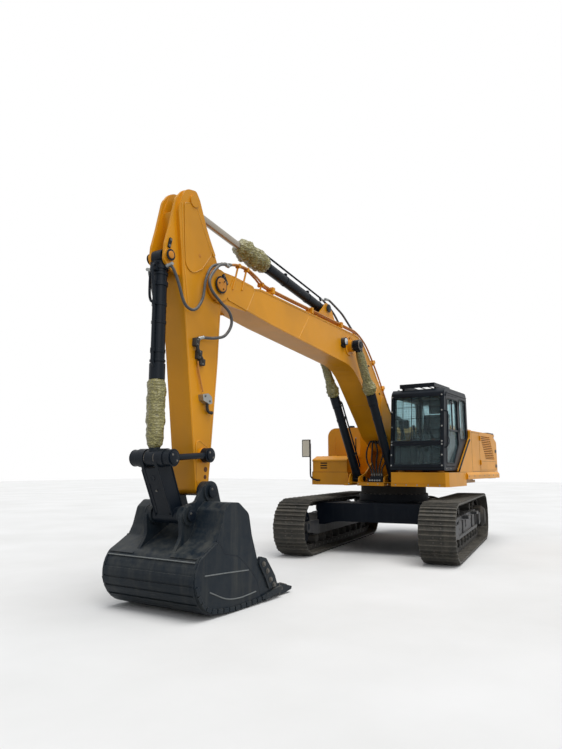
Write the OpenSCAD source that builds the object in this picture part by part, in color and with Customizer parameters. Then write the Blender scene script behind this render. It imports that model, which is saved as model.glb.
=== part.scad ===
// Crawler excavator with a gooseneck boom, a short stick and a digging bucket.
// Millimetres, +X forward along the boom, +Y to the operator's left, +Z up.
// Sizes are written from the swing axis; from_swing() moves them to the model's origin.

/* [Undercarriage] */
// Distance between the middles of the two tracks
gauge = 2590; // [2300:10:2900]
// Width of a track shoe
shoe_w = 600; // [500:10:700]
// Distance between the idler and the sprocket axles
wheelbase = 3990; // [3600:10:4400]
// Height of a track over its grousers
track_h = 1020; // [960:5:1060]
// Height of a grouser bar on its shoe
grouser_h = 30; // [20:1:40]
// Thickness of a shoe's plate
shoe_t = 24; // [16:1:30]
// Height of the chain links inside the shoes
chain_h = 110; // [90:1:130]
// Width of the chain
chain_w = 200; // [160:5:240]
// Number of shoes on a track
shoes = 48; // [44:1:52]
// Radius of a bottom roller
roller_r = 90; // [75:1:95]
// Number of bottom rollers on a side
rollers = 8; // [6:1:9]
// Width of a track frame's beam
frame_w = 300; // [240:10:340]
// Turn of the tracks against the upper structure, as it stands
track_turn = 8.5; // [0:0.5:12]
// Height of the carbody's deck
carbody_top = 1060; // [1040:5:1100]

/* [Upper structure] */
// Height of the platform's underside
deck_z = 1240; // [1230:5:1260]
// Thickness of the platform
deck_t = 60; // [40:5:80]
// Distance from the swing axis to the platform's front edge
front_x = 1250; // [1200:10:1300]
// Behind the swing axis, the seam between the side panels and the bay doors
door_x = 950; // [900:10:1100]
// Left edge of the upper structure
left_y = 1550; // [1530:5:1600]
// Right edge of the upper structure
right_y = 1390; // [1350:5:1450]
// Top of the skirts under the cab and the tool box
skirt_top = 1500; // [1490:5:1520]
// Swing radius of the tail
tail_r = 3450; // [3300:10:3600]
// Front face of the counterweight, behind the swing axis
weight_x = 2380; // [2340:5:2450]
// Top of the counterweight
weight_top = 2380; // [2200:10:2500]
// Top of the engine bay
bay_top = 2320; // [2250:5:2400]
// Front face of the engine bay, behind the swing axis
bay_x = 330; // [320:5:360]
// Thickness of a sheet metal panel with its frame
panel_t = 40; // [30:1:50]

/* [Cab] */
// Right face of the cab
cab_y0 = 475; // [475:5:490]
// Left face of the cab
cab_y1 = 1500; // [1480:5:1505]
// Underside of the cab
cab_z = 1530; // [1520:5:1540]
// Top of the cab's roof
cab_top = 3050; // [2950:10:3150]
// Front of the cab at its floor
cab_x = 1270; // [1200:10:1300]
// How far the windscreen leans back
cab_lean = 170; // [100:10:220]
// Thickness of the cab's walls and posts
cab_t = 60; // [50:1:70]
// Gap around the cab door
door_gap = 8; // [6:1:12]

/* [Boom] */
// Height of the boom's foot pin
foot_z = 2020; // [1980:5:2060]
// Distance from the swing axis forward to the boom's foot pin
foot_x = 240; // [200:5:280]
// Boom length from foot pin to tip pin
boom_len = 6145; // [5900:5:6400]
// Slope of the line from foot pin to tip pin, as it stands
boom_rise = 17.8; // [15:0.1:20]
// Width of the boom
boom_w = 420; // [380:5:420]
// Diameter of the large hinge pins
pin_d = 110; // [90:1:120]
// Radial gap between a pin and its bore
pin_gap = 0.1; // [0.05:0.01:0.2]

/* [Stick] */
// Stick length from boom pin to bucket pin
stick_len = 2600; // [2500:5:2700]
// Lean of the stick off the vertical, as it stands
stick_lean = 4.2; // [2:0.1:6]
// Width of the stick
stick_w = 340; // [320:2:340]

/* [Cylinders] */
// Outer diameter of a cylinder tube
tube_d = 160; // [150:1:162]
// Diameter of a cylinder rod
rod_d = 105; // [80:1:110]
// Distance of a boom cylinder from the middle plane
cyl_y = 375; // [373:1:377]
// Width of a cylinder's eye
eye_w = 150; // [130:2:150]
// Outer diameter of the film wrapped on a rod
wrap_d = 190; // [150:1:200]

/* [Bucket] */
// Width of the bucket over its side plates
bucket_w = 1370; // [1300:10:1450]
// Thickness of the bucket's wrapper plate
wrapper_t = 30; // [20:1:40]
// Thickness of a side plate
side_t = 26; // [20:1:35]
// Number of teeth
teeth = 5; // [4:1:6]

/* [Mounts] */
// Radius of the tow eye's bore behind the carbody
tow_r = 45; // [35:1:50]
// Radius of the lifting eye's bore on the bucket link
lift_r = 36; // [30:1:40]

/* [Hidden] */
$fn = 48;
arc_step = 12;

yellow = "#e0962c";
dark = "#23262c";
navy = "#1b2230";
steel = "#8f9296";
film = "#8d8748";
earth = "#5d564c";

// Places of the pins in the X-Z plane, from the swing axis
FOOT = [foot_x, foot_z];
TIP = FOOT + boom_len * [cos(boom_rise), sin(boom_rise)];
stick_dir = stick_lean - 90;
STICK_U = [cos(stick_dir), sin(stick_dir)];
STICK_V = [-STICK_U[1], STICK_U[0]];
function on_stick(a, p) = TIP + a * STICK_U + p * STICK_V;
function on_boom(u, v) = FOOT + u * [cos(boom_rise), sin(boom_rise)] + v * [-sin(boom_rise),
    cos(boom_rise)];
BUCKET_PIN = on_stick(stick_len, 0);
LINK_STICK_PIN = on_stick(stick_len - 425, 50);
ROD_PIN = on_stick(-934, 530);
CYL_PIN = on_stick(-104, 845);
LINK_PIN = BUCKET_PIN + [650, 390];
BUCKET_LINK_PIN = BUCKET_PIN + [370, -255];
BOOM_BASE = [880, 1370];
BOOM_EYE = on_boom(2545, 985);
STICK_SEAT = [0.537 * boom_len, 1345];
STICK_BASE = on_boom(STICK_SEAT[0], STICK_SEAT[1]);
heel_x = BUCKET_PIN[0] + 750;
origin_x = (heel_x - tail_r) / 2;
mid_z = track_h / 2;
lap = 1;
seat_gap = 0.3;

module from_swing() {
    translate([-origin_x, 0, 0]) children();
}

module at_pivot(p, angle) {
    translate([p[0], 0, p[1]]) rotate([0, -angle, 0]) children();
}

// An outline in X and Z, made solid from y0 to y1
module slab(y0, y1) {
    translate([0, y1, 0]) rotate([90, 0, 0]) linear_extrude(y1 - y0) children();
}

// A round bar along Y at the place p in X and Z
module barrel(p, y0, y1, r) {
    translate([p[0], y1, p[1]]) rotate([90, 0, 0]) cylinder(r = r, h = y1 - y0);
}

// A round bar from p to q in the plane at y
module bar(p, q, y, r) {
    d = q - p;
    translate([p[0], y, p[1]]) rotate([0, atan2(d[0], d[1]), 0]) cylinder(r = r, h = norm(d));
}

module both_sides() {
    children();
    mirror([0, 1, 0]) children();
}

function unit(a, b) = (b - a) / norm(b - a);

// The corner b between a and c, cut to an arc of radius r
function corner(a, b, c, r) =
    r <= 0 ? [b] :
    let (u = unit(b, a), v = unit(b, c), half = acos(u * v) / 2,
         m = b + unit([0, 0], u + v) * r / sin(half),
         p = b + u * r / tan(half) - m, q = b + v * r / tan(half) - m,
         from = atan2(p[1], p[0]), turn = (atan2(q[1], q[0]) - from + 540) % 360 - 180,
         n = max(1, ceil(abs(turn) / arc_step)))
    [for (i = [0:n]) m + r * [cos(from + turn * i / n), sin(from + turn * i / n)]];

// An outline from rows of x, z and corner radius
function rounded(rows) =
    let (n = len(rows))
    [for (i = [0:n - 1])
        let (a = rows[(i + n - 1) % n], b = rows[i], c = rows[(i + 1) % n])
        each corner([a[0], a[1]], [b[0], b[1]], [c[0], c[1]], b[2])];

// The corner b between a and c, moved by h to the left of the way from a to c
function lifted(a, b, c, h) =
    let (u = unit(a, b), v = unit(b, c), n = [-u[1], u[0]], m = [-v[1],
        v[0]]) b + h * (n + m) / (1 + n * m);

// Rows of x, z and corner radius, moved inward by t from a closed outline that runs anticlockwise
function inside(rows, t) =
    let (n = len(rows))
    [for (i = [0:n - 1])
        let (a = rows[(i + n - 1) % n], b = rows[i], c = rows[(i + 1) % n],
             p = lifted([a[0], a[1]], [b[0], b[1]], [c[0], c[1]], t)) [p[0], p[1], max(10, b[2] - t)]];

// A tube of eight sides along points in space
function ring_dir(p, i) =
    let (n = len(p), a = p[max(0, i - 1)], b = p[min(n - 1, i + 1)]) (b - a) / norm(b - a);
module hose(points, d) {
    n = len(points);
    sides = 8;
    rings = [for (i = [0:n - 1])
        let (t = ring_dir(points, i), s = cross(t, abs(t[1]) < 0.8 ? [0, 1, 0] : [1, 0, 0]),
             u = s / norm(s), v = cross(t, u))
        each [for (k = [0:sides - 1]) points[i] + d / 2 * (cos(k * 45) * u + sin(k * 45) * v)]];
    caps = [[for (k = [0:sides - 1]) k], [for (k = [sides - 1:-1:0]) (n - 1) * sides + k]];
    walls = [for (i = [0:n - 2], k = [0:sides - 1])
        [i * sides + k, (i + 1) * sides + k, (i + 1) * sides + (k + 1) % sides,
            i * sides + (k + 1) % sides]];
    polyhedron(points = rings, faces = concat(caps, walls));
}

// Undercarriage

module at_tracks() {
    rotate([0, 0, track_turn]) children();
}

// A point of the track's loop: s along it, h outward from the plate's inner face
loop_r = track_h / 2 - grouser_h - shoe_t;
loop_len = 2 * wheelbase + 2 * PI * loop_r;
function loop_at(s, h) =
    let (half = PI * loop_r, t = (s + loop_len) % loop_len)
    t < wheelbase ? [t - wheelbase / 2, mid_z - loop_r - h] :
    t < wheelbase + half ?
        let (a = (t - wheelbase) / loop_r * 180 / PI - 90)
        [wheelbase / 2 + (loop_r + h) * cos(a), mid_z + (loop_r + h) * sin(a)] :
    t < 2 * wheelbase + half ? [wheelbase * 1.5 + half - t, mid_z + loop_r + h] :
        let (a = (t - 2 * wheelbase - half) / loop_r * 180 / PI + 90)
        [-wheelbase / 2 + (loop_r + h) * cos(a), mid_z + (loop_r + h) * sin(a)];

module stadium(r) {
    translate([-wheelbase / 2, mid_z]) circle(r, $fn = 64);
    translate([wheelbase / 2, mid_z]) circle(r, $fn = 64);
    translate([-wheelbase / 2, mid_z - r]) square([wheelbase, 2 * r]);
}

module track_loop() {
    pitch = loop_len / shoes;
    // Distance along the shoe, as a share of its pitch, and height over the plate's inner face
    shoe_rows = [[0.02, shoe_t * 0.4], [0.04, shoe_t], [0.08, shoe_t + grouser_h],
        [0.16, shoe_t + grouser_h],
        [0.22, shoe_t], [0.42, shoe_t], [0.46, shoe_t + grouser_h], [0.54, shoe_t + grouser_h],
        [0.6, shoe_t], [0.76, shoe_t], [0.8, shoe_t + grouser_h], [0.88, shoe_t + grouser_h],
        [0.94, shoe_t], [0.98, shoe_t * 0.4]];
    outline = [for (i = [0:shoes - 1], row = shoe_rows) loop_at((i + row[0]) * pitch, row[1])];
    color(earth) slab(-shoe_w / 2, shoe_w / 2) difference() {
        polygon(outline);
        stadium(loop_r);
    }
    color(dark) slab(-chain_w / 2, chain_w / 2) difference() {
        stadium(loop_r + lap);
        stadium(loop_r - chain_h);
    }
}

module track_left() {
    from_swing() at_tracks() translate([0, gauge / 2, 0]) track_loop();
}

module track_right() {
    from_swing() at_tracks() translate([0, -gauge / 2, 0]) track_loop();
}

wheel_r = loop_r - chain_h - seat_gap;
beam_z0 = 330;
beam_z1 = 700;
axle_r = 60;
fork_in = 145;
fork_out = 205;
hub_r = 230;
step_len = 320;
step_w = 115;
sill_w = 28;
roller_step = (wheelbase - 2 * 560) / (rollers - 1);
roller_z = grouser_h + shoe_t + chain_h + seat_gap + roller_r;

module idlers() {
    color(navy) from_swing() at_tracks() for (side = [-1, 1])
        translate([wheelbase / 2, side * gauge / 2, mid_z]) rotate([90, 0, 0]) rotate_extrude()
            polygon([[0, -fork_out], [axle_r, -fork_out], [axle_r, -fork_in + 1], [130, -fork_in + 1],
                [150, -115],
                [wheel_r - 60, -105], [wheel_r - 45, -85], [wheel_r, -85], [wheel_r, 85],
                    [wheel_r - 45, 85],
                [wheel_r - 60, 105], [150, 115], [130, fork_in - 1], [axle_r, fork_in - 1],
                [axle_r, fork_out], [0, fork_out]]);
}

module sprockets() {
    cogs = 21;
    tooth = 34;
    color(dark) from_swing() at_tracks() for (side = [-1, 1])
        translate([-wheelbase / 2, side * gauge / 2, mid_z]) {
            rotate([90, 0, 0]) linear_extrude(70, center = true)
                polygon([for (i = [0:cogs * 4 - 1])
                    let (a = i * 90 / cogs, r = wheel_r - (i % 4 < 2 ? 0 : tooth)) [r * cos(a),
                        r * sin(a)]]);
            rotate([90, 0, 0]) translate([0, 0, -fork_out]) cylinder(r = hub_r, h = 2 * fork_out);
            rotate([-90 * side, 0, 0]) translate([0, 0, fork_out - lap]) cylinder(r1 = 225, r2 = 170,
                h = 60);
        }
}

module track_rollers() {
    carrier_r = 70;
    color(dark) from_swing() at_tracks() for (side = [-1, 1]) translate([0, side * gauge / 2, 0]) {
        for (i = [0:rollers - 1]) barrel([560 - wheelbase / 2 + i * roller_step, roller_z],
            -140, 140, roller_r);
        for (x = [-750, 750]) {
            barrel([x, track_h - grouser_h - shoe_t - chain_h - seat_gap - carrier_r],
                -110, 110, carrier_r);
            translate([x - 35, -40, beam_z1]) cube([70, 80, 40]);
        }
    }
}

module track_frame(side) {
    x1 = wheelbase / 2 - wheel_r - 15;
    // x, z and corner radius of the beam seen from the side
    beam = rounded([[-x1, beam_z0, 30], [x1, beam_z0, 30], [x1, beam_z0 + 260, 40], [1250, beam_z1, 60],
        [-1250, beam_z1, 60], [-x1, beam_z0 + 260, 40]]);
    fork_w = fork_out - fork_in;
    fork_y = (fork_out + fork_in) / 2;
    color(dark) from_swing() at_tracks() translate([0, side * gauge / 2, 0]) difference() {
        union() {
            slab(-frame_w / 2, frame_w / 2) polygon(beam);
            for (s = [-1, 1]) {
                slab(s * fork_y - fork_w / 2, s * fork_y + fork_w / 2)
                    polygon(rounded([[x1 - 160, beam_z0 + 20, 20], [wheelbase / 2 + 90, mid_z - 90, 60],
                        [wheelbase / 2 + 90, mid_z + 90, 60], [x1 - 160, beam_z1 - 90, 20]]));
                slab(s * fork_y - fork_w / 2, s * fork_y + fork_w / 2)
                    polygon(rounded([[-x1 + 160, beam_z0 + 30, 20], [-x1 + 160, beam_z1 - 90, 20],
                        [-wheelbase / 2 + 60, mid_z + 90, 30], [-wheelbase / 2 + 60, mid_z - 90, 30]]));
            }
            // Steps and sill on the outer side
            for (x = [-950, 300]) translate([x, side > 0 ? frame_w / 2 - lap : -frame_w / 2 - step_w,
                beam_z1 - 60])
                cube([step_len, step_w + lap, 50]);
            translate([-1300, side > 0 ? frame_w / 2 - lap : -frame_w / 2 - sill_w, beam_z0 + 2])
                cube([2600, sill_w + lap, 55]);
        }
        barrel([wheelbase / 2, mid_z], -300, 300, axle_r + seat_gap);
        barrel([-wheelbase / 2, mid_z], -300, 300, hub_r + seat_gap);
        for (i = [0:rollers - 1])
            barrel([560 - wheelbase / 2 + i * roller_step, roller_z], -141, 141, roller_r + 1);
    }
}

module track_frame_left() {
    track_frame(1);
}

module track_frame_right() {
    track_frame(-1);
}

// Half length and half width of the carbody's middle box, the outer end of its legs, and their heights
body_x = 1420;
body_y = 620;
leg_y = gauge / 2 - frame_w / 2;
body_z0 = 520;
body_z1 = 920;

// Arch under the carbody and its legs
module body_arch() {
    translate([-body_x - 1, 0, 0]) rotate([90, 0, 90]) linear_extrude(2 * body_x + 2)
        polygon(rounded([[-1000, body_z0 - 1, 0], [-760, body_z0 + 60, 300], [760, body_z0 + 60, 300],
            [1000, body_z0 - 1, 0]]));
}

module carbody() {
    tow_x = -body_x - 80;
    tow_z = 620;
    plate_t = 40;
    color(navy) from_swing() at_tracks() difference() {
        union() {
            translate([-body_x, -body_y, body_z0]) cube([2 * body_x, 2 * body_y, body_z1 - body_z0]);
            translate([0, 0, body_z1 - lap]) cylinder(r = 700, h = carbody_top - body_z1 + lap, $fn = 64);
            // Tow plate behind the rear beam
            translate([tow_x, 0, tow_z]) cylinder(r = 90, h = plate_t);
            translate([tow_x, -90, tow_z]) cube([80 + lap, 180, plate_t]);
        }
        translate([tow_x, 0, tow_z - 1]) cylinder(r = tow_r, h = plate_t + 2);
        translate([0, 0, 700]) cylinder(r = 420, h = 500, $fn = 64);
        body_arch();
    }
}

module carbody_legs() {
    color(navy) from_swing() at_tracks() difference() {
        for (s = [-1, 1]) both_sides() translate([0, 0, body_z0]) linear_extrude(body_z1 - body_z0)
            polygon([[s * body_x, body_y], [s * body_x, leg_y], [s * 1020, leg_y], [s * 700, body_y]]);
        body_arch();
    }
}

module swing_bearing() {
    color(steel) from_swing() translate([0, 0, carbody_top + seat_gap]) difference() {
        cylinder(r = 660, h = deck_z - carbody_top - seat_gap, $fn = 96);
        translate([0, 0, -1]) cylinder(r = 520, h = 300, $fn = 96);
    }
}

// Upper structure

// A bar from x0 to x1 with its outer face at y, and a slope from its top down to the edge that stands out
bar_in = 60;
bar_out = 35;
bar_slope = 55;
module step_bar(x0, x1, y) {
    translate([x0, 0, 0]) rotate([90, 0, 90]) linear_extrude(x1 - x0) polygon([[y - bar_in, bar_z],
        [y + bar_out, bar_z],
        [y + bar_out, skirt_top - bar_slope], [y, skirt_top], [y - bar_in, skirt_top]]);
}

bracket_y = 250;
bracket_t = 28;
ear_y = cyl_y + tube_d / 2 + 17;

bar_z = 1360;
deep_x = 100;
box_rear = -900;
skirt_x = 950;
skirt_y = 560;
deck_x = 1130;
sill_y = 950;
tongue = 300;
weight_z = 1340;

module platform() {
    z1 = deck_z + deck_t;
    // x, z and corner radius of a bracket plate that holds the boom's foot
    bracket = rounded([[-bay_x + 10, z1 - lap, 0], [-bay_x + 10, 1850, 120], [-60, foot_z + 150, 160],
        [foot_x + 175, foot_z + 140, 150], [foot_x + 215, foot_z - 330, 160],
            [BOOM_BASE[0] - 100, 1475, 100],
        [1090, 1400, 60], [1090, z1 - lap, 0]]);
    // x, z and corner radius of the outer plate beside a cylinder's foot
    ear = rounded([[500, z1 - lap, 0], [620, 1470, 80], [1010, 1470, 90], [1100, z1 - lap, 0]]);
    // x and y of the deep front part under the cab, with its corner cut
    deep = [[deep_x, cab_y0 + 5], [front_x, cab_y0 + 5], [front_x, left_y - 45], [front_x - 90, left_y],
        [deep_x, left_y]];
    color(yellow) from_swing() difference() {
        union() {
            translate([0, 0, deck_z]) linear_extrude(deck_t) polygon([[-weight_x - tongue, -sill_y],
                [box_rear, -sill_y],
                [box_rear, -right_y], [skirt_x, -right_y], [skirt_x, -skirt_y], [deck_x, -skirt_y],
                    [deck_x, 460], [front_x, 460],
                [front_x, left_y - 45], [front_x - 90, left_y], [deep_x, left_y], [deep_x, sill_y],
                [-weight_x - tongue, sill_y]]);
            both_sides() {
                slab(bracket_y, bracket_y + bracket_t) polygon(bracket);
                slab(ear_y, ear_y + 24) polygon(ear);
                barrel(FOOT, bracket_y, bracket_y + 60, 150);
            }
            // Box under the cab with its skirt, and the box under the tool box
            translate([0, 0, z1 - lap]) linear_extrude(skirt_top - z1 + lap) polygon(deep);
            translate([-bay_x, cab_y0 + 5, bar_z]) cube([bay_x + deep_x + lap, left_y - cab_y0 - 5,
                skirt_top - bar_z]);
            translate([box_rear, -right_y, z1 - lap]) cube([skirt_x - box_rear, right_y - skirt_y,
                skirt_top - z1 + lap]);
            // Mounts under the cab
            for (x = [-200, 1100], y = [620, 1380]) translate([x, y, skirt_top - lap])
                cylinder(r = 60, h = cab_z - skirt_top + lap);
            // Beams along the engine bay, the step bars outside them and the arms between
            for (y = [sill_y - 60, -sill_y]) translate([-weight_x, y, z1 - lap])
                cube([weight_x - bay_x + lap, 60, skirt_top - z1 + lap]);
            step_bar(-weight_x, deep_x, left_y);
            mirror([0, 1, 0]) step_bar(-weight_x, box_rear + lap, right_y);
            for (x = [-weight_x, -door_x - 50]) {
                translate([x, sill_y - lap, bar_z]) cube([100, left_y - bar_in - sill_y + 2 * lap,
                    skirt_top - bar_z]);
                translate([x, -right_y + bar_in - lap, bar_z])
                    cube([100, right_y - bar_in - sill_y + 2 * lap, skirt_top - bar_z]);
            }
            // Seat of the counterweight
            translate([-weight_x - tongue, -900, z1 - lap]) cube([tongue, 1800,
                weight_z - seat_gap - z1 + lap]);
        }
        barrel(FOOT, -400, 400, pin_d / 2 + pin_gap);
        barrel(BOOM_BASE, -600, 600, 45 + pin_gap);
        translate([0, 0, deck_z - 1]) cylinder(r = 380, h = deck_t + 2, $fn = 64);
        // Slots in the deck under the boom cylinders' feet
        both_sides() translate([760, bracket_y + bracket_t, deck_z - 1])
            cube([front_x, ear_y - bracket_y - bracket_t, deck_t + 2]);
    }
}

module swing_drive() {
    color(dark) from_swing() translate([-600, 0, deck_z + deck_t]) {
        cylinder(r = 190, h = 330);
        translate([0, 0, 329]) cylinder(r = 140, h = 260);
    }
}

module counterweight() {
    side_y = right_y - 10;
    // x, y and corner radius of the counterweight's plan
    plan = rounded([[-weight_x, -side_y, 0], [-weight_x, side_y, 0], [-weight_x - 560, side_y, 240],
        [-tail_r - 60, 860, 300], [-tail_r - 60, -860, 300], [-weight_x - 560, -side_y, 240]]);
    // x, z and corner radius of its side
    side = rounded([[-weight_x + 1, weight_z, 0], [-weight_x + 1, weight_top, 0],
        [-tail_r + 260, weight_top, 140],
        [-tail_r - 20, weight_top - 330, 400], [-tail_r - 20, weight_z + 220, 200],
            [-tail_r + 160, weight_z, 100]]);
    color("#3a3d42") from_swing() intersection() {
        translate([0, 0, weight_z]) linear_extrude(weight_top - weight_z) polygon(plan);
        cylinder(r = tail_r, h = 3000, $fn = 128);
        slab(-1600, 1600) polygon(side);
    }
}

module engine_block() {
    color(steel) from_swing() translate([-2050, -620, deck_z + deck_t]) cube([800, 1150, 760]);
}

hood_h = 130;
strip_w = 560;
hinge_r = 14;

module bay_frame() {
    z0 = skirt_top;
    color(yellow) from_swing() {
        // Front bulkhead, the wall behind the tank, and the posts between the doors
        translate([-bay_x - panel_t, -right_y + panel_t, z0]) cube([panel_t,
            right_y + left_y - 2 * panel_t, bay_top - z0]);
        translate([-door_x - 60, left_y - panel_t - 60, z0]) cube([120, 60, bay_top - z0]);
        translate([-door_x - 60, -right_y + panel_t, z0]) cube([120, 60, bay_top - z0]);
        // Roof strips beside the hood
        for (s = [[left_y - panel_t, -1], [-right_y + panel_t, 1]])
            translate([-weight_x, s[1] > 0 ? s[0] : s[0] - strip_w, bay_top - panel_t])
                cube([weight_x - bay_x - panel_t + lap, strip_w, panel_t]);
    }
}

module hood() {
    w0 = -right_y + panel_t + strip_w - 60;
    w1 = left_y - panel_t - strip_w + 60;
    // x, z and corner radius of the hood's raised outline, then of its hollow
    top = rounded([[-weight_x + 10, bay_top, 0], [-weight_x + 60, bay_top + hood_h, 80],
        [-bay_x - 260, bay_top + hood_h, 80], [-bay_x, bay_top, 0]]);
    hollow = rounded([[-weight_x + 60, bay_top - 1, 0], [-weight_x + 100, bay_top + hood_h - panel_t, 50],
        [-bay_x - 290, bay_top + hood_h - panel_t, 50], [-bay_x - 100, bay_top - 1, 0]]);
    color(yellow) from_swing() {
        difference() {
            slab(w0, w1) polygon(top);
            slab(w0 + panel_t, w1 - panel_t) polygon(hollow);
        }
        for (y = [-500, 300]) {
            barrel([-bay_x + hinge_r, bay_top + hinge_r + seat_gap], y, y + 120, hinge_r);
            translate([-bay_x - 60, y + 5, bay_top + 2]) cube([60 + hinge_r, 110, 12]);
        }
    }
}

module left_panel() {
    // x, z and corner radius of the side panel ahead of the radiator door
    outline = rounded([[-door_x + 4, skirt_top, 0], [-door_x + 4, bay_top, 0], [-290, bay_top, 30],
        [-262, 2170, 60], [590, skirt_top, 20]]);
    color(yellow) from_swing() slab(left_y - panel_t, left_y) polygon(outline);
}

module right_panel() {
    color(yellow) from_swing() translate([-door_x + 4, -right_y, skirt_top])
        cube([door_x - 4 - bay_x, panel_t, bay_top - skirt_top]);
}

// Hinge knuckles and plates at a door's front edge, outside the face at y
module door_hinges(y, out) {
    for (z = [1640, 2140]) {
        translate([-door_x, y + out * (hinge_r + seat_gap), z]) cylinder(r = hinge_r, h = 100);
        translate([-door_x - 75, out > 0 ? y - lap : y - hinge_r + lap, z + 5]) cube([75, hinge_r, 90]);
    }
}

// x, z and corner radius of a door of the engine bay
function bay_door() = rounded([[-weight_x + 6, skirt_top + 6, 10], [-weight_x + 6, bay_top - 170, 60],
    [-weight_x + 430, bay_top, 60], [-door_x - 4, bay_top, 0], [-door_x - 4, skirt_top + 6, 10]]);

module left_rear_door() {
    slots = 13;
    // Lowest slot, and how far the grille leans forward at its top
    z0 = 1765;
    lean = [0.75, 0.79];
    color(yellow) from_swing() {
        difference() {
            slab(left_y - panel_t, left_y) polygon(bay_door());
            for (i = [0:slots - 1]) translate([-2140 + lean[0] * i * 38, left_y - panel_t - 1, z0 + i * 38])
                cube([750 + (lean[1] - lean[0]) * i * 38, panel_t + 2, 20]);
        }
        door_hinges(left_y, 1);
    }
}

module right_door() {
    slots = 10;
    color(yellow) from_swing() {
        difference() {
            slab(-right_y, -right_y + panel_t) polygon(bay_door());
            for (i = [0:slots - 1]) translate([-weight_x + 260, -right_y - 1, 1800 + i * 38])
                cube([500, panel_t + 2, 20]);
        }
        door_hinges(-right_y, -1);
    }
}

module fuel_tank() {
    // y, z and corner radius of the tank seen from the front
    section = rounded([[-right_y, skirt_top, 0], [-right_y, 2430, 190], [-620, 2430, 60],
        [-620, skirt_top, 0]]);
    color(yellow) from_swing() translate([-bay_x + seat_gap, 0, 0]) rotate([90, 0, 90])
        linear_extrude(bay_x + 240) polygon(section);
}

box_x0 = 270;
box_x1 = 940;
box_y0 = -right_y + 15;
box_y1 = -590;
box_h = 280;
lid_t = 40;
// Length and fall of the slope at the box's front
slope_x = 190;
slope_z = 70;

module tool_box() {
    slot_w = 160;
    z1 = skirt_top + box_h;
    color(yellow) from_swing() difference() {
        slab(box_y0, box_y1) polygon([[box_x0, skirt_top], [box_x0, z1], [box_x1 - slope_x, z1],
            [box_x1, z1 - slope_z], [box_x1, skirt_top]]);
        translate([box_x0 + 30, box_y0 + 30, skirt_top + 30])
            cube([box_x1 - box_x0 - 60, box_y1 - box_y0 - 60, 300]);
        for (i = [0:2]) translate([box_x1 - 12, -1200, skirt_top + 65 + 48 * i]) cube([13, slot_w, 26]);
    }
}

module tool_box_lid() {
    // x, z and corner radius of the lid seen from the side
    z0 = skirt_top + box_h + seat_gap;
    fall = slope_z / slope_x;
    outline = rounded([[box_x0, z0, 0], [box_x0, z0 + lid_t, 10], [box_x1 - slope_x + 8, z0 + lid_t, 100],
        [box_x1 + 14, z0 + lid_t - slope_z - 5, 30], [box_x1 + 8, z0 - slope_z - 8 * fall, 0],
            [box_x1 - slope_x, z0, 0]]);
    color(yellow) from_swing() {
        slab(box_y0 - 8, box_y1 + 8) polygon(outline);
        for (y = [box_y0 + 100, box_y1 - 200]) {
            barrel([box_x0, z0 + lid_t + hinge_r - 1], y, y + 100, hinge_r);
            translate([box_x0, y + 5, z0 + lid_t - lap]) cube([60, 90, 12]);
        }
    }
}

module exhaust() {
    color(dark) from_swing() translate([-1700, -560, bay_top + hood_h + seat_gap]) difference() {
        cylinder(r = 60, h = 330);
        translate([0, 0, 30]) cylinder(r = 52, h = 301);
    }
}

// Cab

cab_rear = -290;
door_rear = 300;
CAB = [[cab_rear, cab_z, 20], [cab_x, cab_z, 30], [cab_x - cab_lean, cab_top - 70, 90],
    [cab_x - cab_lean - 90, cab_top, 60], [cab_rear, cab_top, 120]];
function cab_outline(inset) = rounded(inside(CAB, inset));
// x, z and corner radius of the door's opening
function door_outline(inset) = rounded(inside([[620, 1600, 30], [cab_x - 90, 1600, 40],
    [cab_x - cab_lean - 75, cab_top - 130, 60], [door_rear, cab_top - 130, 60], [door_rear, 1990, 60]],
        inset));
// x, z and corner radius of the window behind the door
function rear_window(inset) = rounded(inside([[-190, 2130, 60], [door_rear - 75, 2130, 60],
    [door_rear - 75, cab_top - 150, 60], [-190, cab_top - 150, 60]], inset));

module windscreen(z0, z1, y0, y1, depth, outward) {
    lean = cab_lean / (cab_top - 70 - cab_z);
    x = cab_x - lean * (z0 - cab_z);
    translate([x, y0, z0]) rotate([0, -atan(lean), 0])
        translate([outward - depth, 0, 0]) cube([depth, y1 - y0, (z1 - z0) * sqrt(1 + lean * lean)]);
}

module cab_shell() {
    color(dark) from_swing() difference() {
        slab(cab_y0, cab_y1) polygon(cab_outline(0));
        slab(cab_y0 + cab_t, cab_y1 - cab_t) polygon(cab_outline(cab_t));
        slab(cab_y1 - cab_t - 1, cab_y1 + 1) polygon(door_outline(0));
        slab(cab_y1 - cab_t - 1, cab_y1 + 1) polygon(rear_window(0));
        // Right side window, rear window, windscreens and roof hatch
        slab(cab_y0 - 1, cab_y0 + cab_t + 1) polygon(rounded([[-180, 2080, 60], [cab_x - 230, 2080, 60],
            [cab_x - cab_lean - 110, cab_top - 150, 60], [-180, cab_top - 150, 60]]));
        translate([cab_rear - 1, cab_y0 + 110, 2120]) cube([cab_t + 2, cab_y1 - cab_y0 - 220, 750]);
        windscreen(2060, 2900, cab_y0 + 75, cab_y1 - 75, 200, 50);
        windscreen(1640, 2000, cab_y0 + 75, cab_y1 - 75, 200, 50);
        translate([200, cab_y0 + 180, cab_top - cab_t - 1]) cube([600, cab_y1 - cab_y0 - 360, cab_t + 2]);
    }
}

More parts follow.
